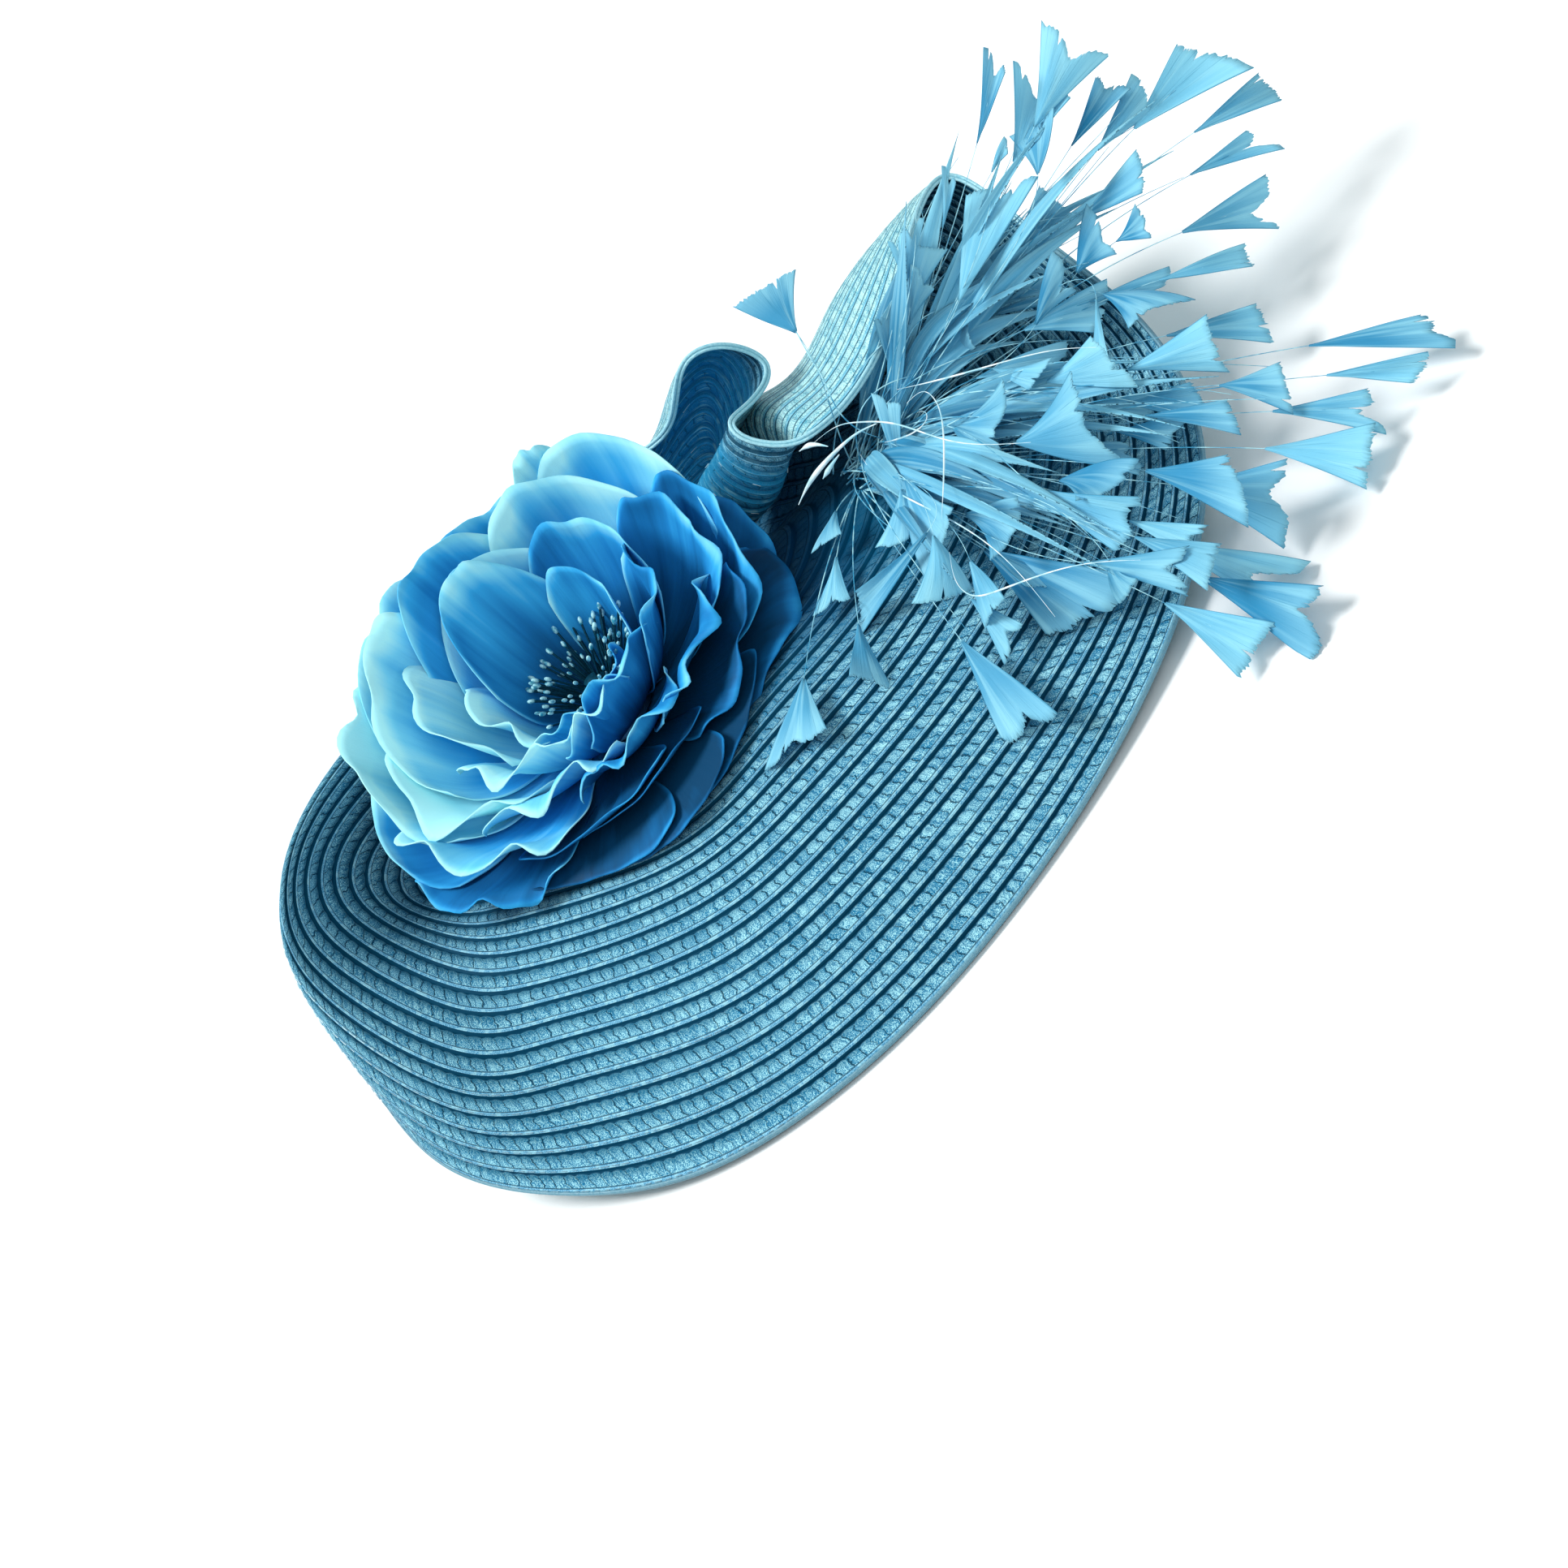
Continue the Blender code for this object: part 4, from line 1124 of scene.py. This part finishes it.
# The feathers, which all come from one binding.
featherSpray = {
    "binding": (108.0, 36.0, 53.6),
    "bindingHalf": (15.0, 19.0, 6.5),
    "rootShare": 0.8,                 # how far out in the binding the bowed feathers stand
    "fanFrom": 42.0,
    "fanTo": -168.0,
    "vaneFace": (0.0, -0.6, 0.8),
    "barbs": 32,
    "stations": 12,
    "wall": 0.35,
    "lowest": 1.2,                    # vanes that reach the floor lie on it
    "quillRadius": 0.36,
    "quillPoints": 24,
    "widenBowed": 1.12,
    "widenPlaced": 1.30,
    "seed": 7,
    "fillers": 20,
    "blades": 46,
    "bareQuills": 44,
    "outerCount": 22,                 # the first so many of the feathers below stand round the outside
    # Tip, rise of the bow, forward bow, vane length, vane width.
    "feathers": {
        "upper thin":     ((209, 30, 119), 4, 22, 22, 6),
        "upper narrow":   ((253, 35, 134), 6, 22, 34, 10),
        "upper fan":      ((260, 30, 114), 8, 22, 34, 24),
        "top fan":        ((278, 25, 121), 8, 18, 38, 26),
        "side high":      ((277, 20, 98), 12, 16, 30, 15),
        "side mid":       ((283, 15, 87), 16, 14, 30, 15),
        "far fan":        ((313, 10, 78), 26, 10, 44, 30),
        "far point":      ((318, 0, 56), 36, 8, 34, 15),
        "far low":        ((303, -5, 44), 38, 6, 32, 13),
        "right high":     ((284, -22, 34), 38, 4, 34, 20),
        "right mid":      ((261, -30, 30), 36, 2, 32, 15),
        "right low":      ((244, -55, 22), 30, 0, 34, 15),
        "long":           ((275, -129, 12), 24, 0, 48, 17),
        "long pair":      ((257, -138, 14), 22, 0, 34, 11),
        "drop right":     ((236, -135, 14), 22, 0, 38, 15),
        "drop wide":      ((221, -144, 10), 22, 0, 38, 23),
        "drop fan":       ((189, -135, 16), 22, 0, 38, 29),
        "drop front":     ((164, -155, 10), 26, 0, 42, 23),
        "drop long":      ((159, -184, 6), 28, 0, 48, 27),
        "drop left":      ((139, -168, 7), 30, 0, 38, 21),
        "brim fan":       ((112, -104, 23), 24, 0, 52, 34),
        "brim point":     ((65, -121, 22), 26, 0, 46, 26),
        "disc fan":       ((4, -56, 50), 14, 0, 30, 30),
        "disc left":      ((41, -58, 48), 14, 0, 26, 16),
        "small upper":    ((72, 8, 62), 6, 0, 18, 14),
        "small lower":    ((54, -17, 56), 8, 0, 24, 14),
    },
    # More vanes, by the photo: neck pixel, end pixel, width in mm, heights of neck and end.
    "vanes": {
        "lone triangle":    ((981, 409), (940, 354), 22, 128, 141),
        "upright blade":    ((1109, 586), (1093, 490), 10, 60, 82),
        "hanging fan":      ((1111, 603), (1117, 676), 22, 70, 60),
        "folded fan":       ((1114, 586), (1160, 672), 25, 70, 62),
        "lower fan":        ((1150, 660), (1166, 738), 20, 68, 54),
        "slanted blade":    ((1142, 656), (1058, 756), 11, 68, 52),
        "small triangle":   ((1190, 634), (1250, 652), 20, 62, 58),
        "centre fan":       ((1172, 524), (1236, 536), 26, 66, 68),
        "upper slip":       ((1224, 454), (1284, 462), 11, 66, 70),
        "broad right":      ((1252, 545), (1345, 512), 32, 62, 64),
        "right triangle":   ((1306, 592), (1366, 600), 22, 56, 54),
        "striated long":    ((1274, 603), (1398, 650), 19, 60, 48),
        "left broad":       ((1182, 370), (1232, 226), 24, 92, 102),
        "upper vee":        ((1279, 214), (1276, 146), 22, 104, 108),
        "mid fan":          ((1327, 336), (1362, 284), 19, 68, 72),
        "shoulder fan":     ((1330, 270), (1408, 212), 18, 74, 80),
        "hanging band":     ((1351, 369), (1357, 452), 6, 66, 56),
        "side fan":         ((1360, 362), (1424, 384), 21, 58, 56),
        "folded leaf":      ((1276, 400), (1316, 334), 14, 68, 74),
        "small leaf":       ((1222, 212), (1241, 178), 5, 106, 110),
        "back slip":        ((1376, 297), (1412, 272), 12, 66, 70),
        "low slip":         ((1366, 690), (1392, 730), 10, 48, 38),
        "low leaf":         ((1336, 693), (1462, 702), 14, 50, 38),
        "wing leaf":        ((1412, 580), (1530, 600), 20, 48, 42),
        "crest leaf":       ((1390, 455), (1498, 424), 18, 58, 56),
        "inner slip":       ((1160, 470), (1196, 404), 13, 68, 80),
        "inner leaf":       ((1120, 400), (1140, 340), 10, 90, 102),
        "veil fan":         ((1196, 692), (1222, 760), 20, 58, 46),
        "cross leaf":       ((1290, 470), (1372, 440), 20, 64, 68),
    },
    # Pale bare quills: pixels with heights.
    "paleQuills": {
        "pale hook":    ((1160, 640, 72), (1163, 580, 80), (1161, 520, 86), (1150, 490, 88), (1135, 483, 87),
                         (1117, 497, 84)),
        "small curl":   ((1090, 545, 74), (1120, 536, 78), (1140, 520, 80), (1140, 508, 80), (1130, 508, 80)),
        "wavy":         ((1170, 680, 68), (1178, 716, 62), (1200, 734, 58), (1240, 724, 60), (1320, 698, 66),
                         (1405, 690, 68)),
        "left reach":   ((1000, 548, 94), (1030, 526, 94), (1062, 520, 92), (1110, 524, 88), (1180, 545, 84),
                         (1270, 545, 82)),
        "long arch":    ((1105, 480, 82), (1180, 462, 86), (1280, 435, 88), (1350, 428, 88)),
        "low strand":   ((1060, 560, 74), (1095, 600, 70), (1170, 640, 66), (1240, 690, 60), (1300, 760, 52)),
    },
    "splitQuills": {
        "split shaft":  ((984, 622, 84), (1002, 588, 88), (1030, 556, 91), (1056, 534, 92), (1080, 522, 92)),
        "split tip":    ((1014, 590, 88), (1024, 574, 90), (1034, 560, 91)),
        "outer slip":   ((985, 556, 96), (1000, 548, 97), (1020, 550, 97)),
    },
    # The stem of the lone triangle, which crosses in front of the lapel.
    "loneQuill": {
        "stem":         ((1085, 540, 66), (1056, 528, 84), (1031, 503, 101), (1014, 467, 112),
                         (997, 438, 121), (981, 409, 128), (968, 391, 132)),
    },
    # Pieces of the three tables above: table, radius in mm, share of it at both ends, tones.
    "placedQuills": {
        "pale_quills":  ("paleQuills", 0.55, 0.12, "paleHorn"),
        "split_quills": ("splitQuills", 1.5, 0.12, "paleHorn"),
        "lone_quill":   ("loneQuill", 0.32, 0.7, "horn"),
    },
    "horn": ("3c9cc4", "b4ecf6"),
    "paleHorn": ("a8dcec", "f2fcfe"),
    "linePoints": 40,                 # on each placed quill
}


def bindingRoot(chance, spread):
    # A place in the binding, at most this share of its half sizes from its middle.
    binding, half = np.array(featherSpray["binding"]), np.array(featherSpray["bindingHalf"])
    return binding + half * chance.uniform(-spread, spread, 3)


def featherRoots(feathers):
    binding, half = np.array(featherSpray["binding"]), featherSpray["bindingHalf"]
    turns = {}
    for name, row in feathers.items():
        turns[name] = math.atan2(row[0][1] - binding[1], row[0][0] - binding[0])
    order = sorted(turns, key=lambda name: -turns[name])
    first, last = featherSpray["fanFrom"], featherSpray["fanTo"]
    roots = {}
    for k, name in enumerate(order):
        angle = math.radians(first + (last - first) * (k / (len(order) - 1)))
        outward = np.array((math.cos(angle) * half[0], math.sin(angle) * half[1], 0.0))
        roots[name] = binding + outward * featherSpray["rootShare"]
    return roots


def bowAt(root, middle, tip, t):
    t = np.asarray(t, float)[..., None]
    inside = (1 - t) ** 2 * root + 2 * t * (1 - t) * middle + t**2 * tip
    ahead = 2 * (tip - middle)
    along = unit(2 * (1 - t) * (middle - root) + 2 * t * (tip - middle))
    beyond = tip + ahead * (t - 1)
    return np.where(t > 1, beyond, inside), along


def tipBetween(chance, near, far):
    # A place part of the way out to the line between two neighbouring tips.
    named = list(featherSpray["feathers"].values())[:featherSpray["outerCount"]]
    binding = np.array(featherSpray["binding"])
    i, blend = int(chance.integers(0, len(named) - 1)), chance.uniform(0, 1)
    tip = np.array(named[i][0], float) * (1 - blend) + np.array(named[i + 1][0], float) * blend
    tip = binding + (tip - binding) * chance.uniform(near, far) + chance.normal(0, 4, 3)
    tip[2] = max(tip[2] + 8, 36)
    return tip, named[i][1], named[i][2]


def fillerFeathers(chance):
    # Shorter vanes between the named ones.
    made = {}
    for k in range(featherSpray["fillers"]):
        tip, rise, forward = tipBetween(chance, 0.5, 0.9)
        vane, width = chance.uniform(22, 34), chance.uniform(10, 22)
        made["filler %d" % k] = (tuple(tip), rise * 0.8 + 6, forward * 0.8, vane, width)
    return made


def vaneGrid(start, middle, tip, width, chance, blade):
    # Fan of barbs from the neck to a cut and frayed end, or a long pointed blade.
    barbs, stations = featherSpray["barbs"], featherSpray["stations"]
    c = np.linspace(-1, 1, barbs)[None]
    s = np.linspace(0, 1, stations)[:, None]
    skew, notch = chance.uniform(-0.22, 0.22), chance.uniform(0.0, 0.24) * (chance.uniform() < 0.6)
    middleAt, slitAt = chance.uniform(-0.3, 0.3), chance.uniform(-0.8, 0.8)
    end = 1 + skew * c - notch * np.exp(-((c - middleAt) / 0.35) ** 2) + chance.normal(0, 0.010, (1, barbs))
    end = end * (1 - 0.015 * (np.arange(barbs) % 2)[None]) - 0.16 * np.exp(-((c - slitAt) / 0.035) ** 2)
    end = end * (1 - blade) + blade * (1 - 0.45 * np.abs(c) ** 1.3)
    reach = s * np.clip(end, 0.5, 1.08)
    place, along = bowAt(start, middle, tip, reach)
    tilt = chance.normal(0, 0.35, 2)
    face = np.array(featherSpray["vaneFace"]) + np.array((tilt[0], 0, tilt[1]))
    side = unit(np.cross(along, face))
    normal = np.cross(side, along)
    fan = 0.04 + 0.96 * reach ** 1.12
    leaf = 0.12 + 0.88 * np.sin(math.pi * np.clip(reach, 0, 1) ** 0.8) ** 0.8
    halfWidth = 0.5 * width * (fan * (1 - blade) + leaf * blade)
    curl, twist = chance.uniform(-0.22, 0.22), chance.uniform(-0.5, 0.5) * reach * (1 + 0.8 * blade)
    lift = curl * width * (c**2 - 0.3) * reach + 0.35 * np.sin(3 * c + 5 * s)
    flat = c * halfWidth
    beside, above = flat * np.cos(twist), flat * np.sin(twist) + lift
    shape = place + side * beside[..., None] + normal * above[..., None]
    shape[..., 2] = np.maximum(shape[..., 2], featherSpray["lowest"])
    return shape


def cubicAt(first, second, third, fourth):
    t = np.linspace(0, 1, featherSpray["quillPoints"])[:, None]
    return (1 - t)**3 * first + 3 * t * (1 - t)**2 * second + 3 * t**2 * (1 - t) * third + t**3 * fourth


def featherMaterial():
    recipe = newMaterial("dyed feather")
    ident, side, along = recipe.patchPlace()
    barb = recipe.noise(recipe.place(side * 22.0, along * 1.0, ident * 3.0), 1.0, 3.0, 0.6)
    wide = recipe.noise(recipe.place(side * 3.0, along * 0.8, ident * 3.0), 1.0, 1.0)
    hair = recipe.noise(recipe.place(side * 34.0, 0.0, ident * 3.0), 1.0, 2.0, 0.7)
    margin = side.size().rise(0.94, 1.0)
    face = recipe.mix(recipe.chance("1D", W=ident), "2a88b6", "7ccae8")
    face = recipe.mix(along.rise(0.45, 1.0) * 0.35, face, "a8e8f6")
    face = recipe.mix(wide.rise(0.42, 0.70) * 0.40, face, "a8e8f6")
    face = recipe.mix(barb.rise(0.44, 0.30) * 0.45, face, "2a82a8")
    face = recipe.mix(margin * 0.6, face, "2c86ac")
    kept = ((1.0 - along) * 8.0 + (hair - 0.36) * 3.0).rise(0.24, 0.34)
    return recipe.finish(Base_Color=face, Roughness=0.60, Normal=recipe.bump(barb, 0.22), Alpha=kept,
                         Specular_IOR_Level=0.15)


def quillMaterial(name, dark, pale):
    recipe = newMaterial(name)
    grain = recipe.noise(recipe.coordinates("Object"), 160.0, 2.0)
    return recipe.finish(Base_Color=recipe.mix(grain.rise(0.35, 0.65), dark, pale), Roughness=0.4,
                         Specular_IOR_Level=0.2)


def quillTo(root, middle, tip, share):
    # The line of a bowed quill, up to a share of the way to its tip.
    return bowAt(root, middle, tip, np.linspace(0, share, featherSpray["quillPoints"]))[0]


def namedFeathers(chance):
    # Vane controls, vane width and quill line of each feather that bends in one bow from the binding.
    feathers = dict(featherSpray["feathers"])
    feathers.update(fillerFeathers(chance))
    roots = featherRoots(feathers)
    made = []
    for name, (tip, rise, forward, vane, width) in feathers.items():
        root, tip = roots[name], np.array(tip, float)
        middle = (root + tip) / 2 + np.array((0, -forward, rise))
        neck = 1 - vane / np.linalg.norm(tip - root)
        start = bowAt(root, middle, tip, neck)[0]
        made.append((start, middle * (1 - neck) + tip * neck, tip, width * featherSpray["widenBowed"], 0,
                     quillTo(root, middle, tip, neck + (1 - neck) * 0.5)))
    return made


def photoFeathers(chance):
    made = []
    for neckPixel, endPixel, width, neckHeight, endHeight in featherSpray["vanes"].values():
        neck, tip = fromPhoto(*neckPixel, neckHeight), fromPhoto(*endPixel, endHeight)
        root = bindingRoot(chance, 0.6)
        length = np.linalg.norm(neck - root)
        ahead = unit(tip - neck)
        bend = np.cross(ahead, (0, 0, 1)) * chance.normal(0, 2.0)
        upward = unit(neck - root + (0, -10, 30))
        quill = cubicAt(root, root + upward * length * 0.4, neck - ahead * length * 0.3, neck)
        made.append((neck, (neck + tip) / 2 + bend, tip, width * featherSpray["widenPlaced"], 0, quill))
    return made


def bladeFeathers(chance):
    # Long pointed blades that stream out of the binding, on short quills.
    made = []
    for k in range(featherSpray["blades"]):
        tip, rise, forward = tipBetween(chance, 0.40, 0.86)
        tip[2] += 10
        root = bindingRoot(chance, 0.7)
        middle = root * 0.45 + tip * 0.55 + (0, -forward * 0.6, rise * 0.9 + 8) + chance.normal(0, 5, 3)
        start = bowAt(root, middle, tip, 0.12)[0]
        made.append((start, middle * 0.88 + tip * 0.12, tip, chance.uniform(4, 10), 1,
                     quillTo(root, middle, tip, 0.5)))
    return made


def bareQuills(chance):
    lines = []
    for k in range(featherSpray["bareQuills"]):
        tip, rise, forward = tipBetween(chance, 0.4, 0.85)
        root = bindingRoot(chance, 0.8)
        aside = chance.normal(0, 10, 3)
        second = root * 0.65 + tip * 0.35 + (aside[0], -forward, rise + 8)
        third = root * 0.3 + tip * 0.7 + (0, -forward + aside[1], rise + aside[2])
        lines.append(cubicAt(root, second, third, tip))
    return lines


def smoothLine(places):
    points = np.array([fromPhoto(*place) for place in places])
    knots = np.arange(len(points), dtype=float)
    return smoothAt(knots, points, np.linspace(0, knots[-1], featherSpray["linePoints"]))


def makeFeathers(tree):
    chance = np.random.default_rng(featherSpray["seed"])
    points, faces, pairs, quills = [], [], [], []
    feathers = namedFeathers(chance) + photoFeathers(chance) + bladeFeathers(chance)
    for index, (neck, middle, tip, width, blade, quill) in enumerate(feathers):
        points.append(vaneGrid(neck, middle, tip, width, chance, blade).reshape(-1, 3))
        addPatch(faces, pairs, featherSpray["stations"], featherSpray["barbs"], index, False)
        quills.append(quill)
    vanes = meshPiece("feather_vanes", np.concatenate(points), faces, featherMaterial(), pairs)
    giveWall(vanes, featherSpray["wall"])
    finishPiece(vanes, ["feather_spray"])
    horns = {"horn": quillMaterial("quill", *featherSpray["horn"]),
             "paleHorn": quillMaterial("split quill", *featherSpray["paleHorn"])}
    source = curveSource("quill_lines", quills + bareQuills(chance))
    piece = applyTree(source, tree, "feather_quills", Radius=featherSpray["quillRadius"] * mm,
                      Start_Share=1.0, End_Share=0.3, Sides=6, Material=horns["horn"])
    finishPiece(piece, ["feather_spray"])
    for name, (table, radius, ends, tones) in featherSpray["placedQuills"].items():
        lines = [smoothLine(line) for line in featherSpray[table].values()]
        piece = applyTree(curveSource("pale_lines", lines), tree, name, Radius=radius * mm, Start_Share=ends,
                          End_Share=ends, Sides=8, Material=horns[tones])
        finishPiece(piece, ["feather_spray"])


makeFeathers(tubes)
print("feathers ready")
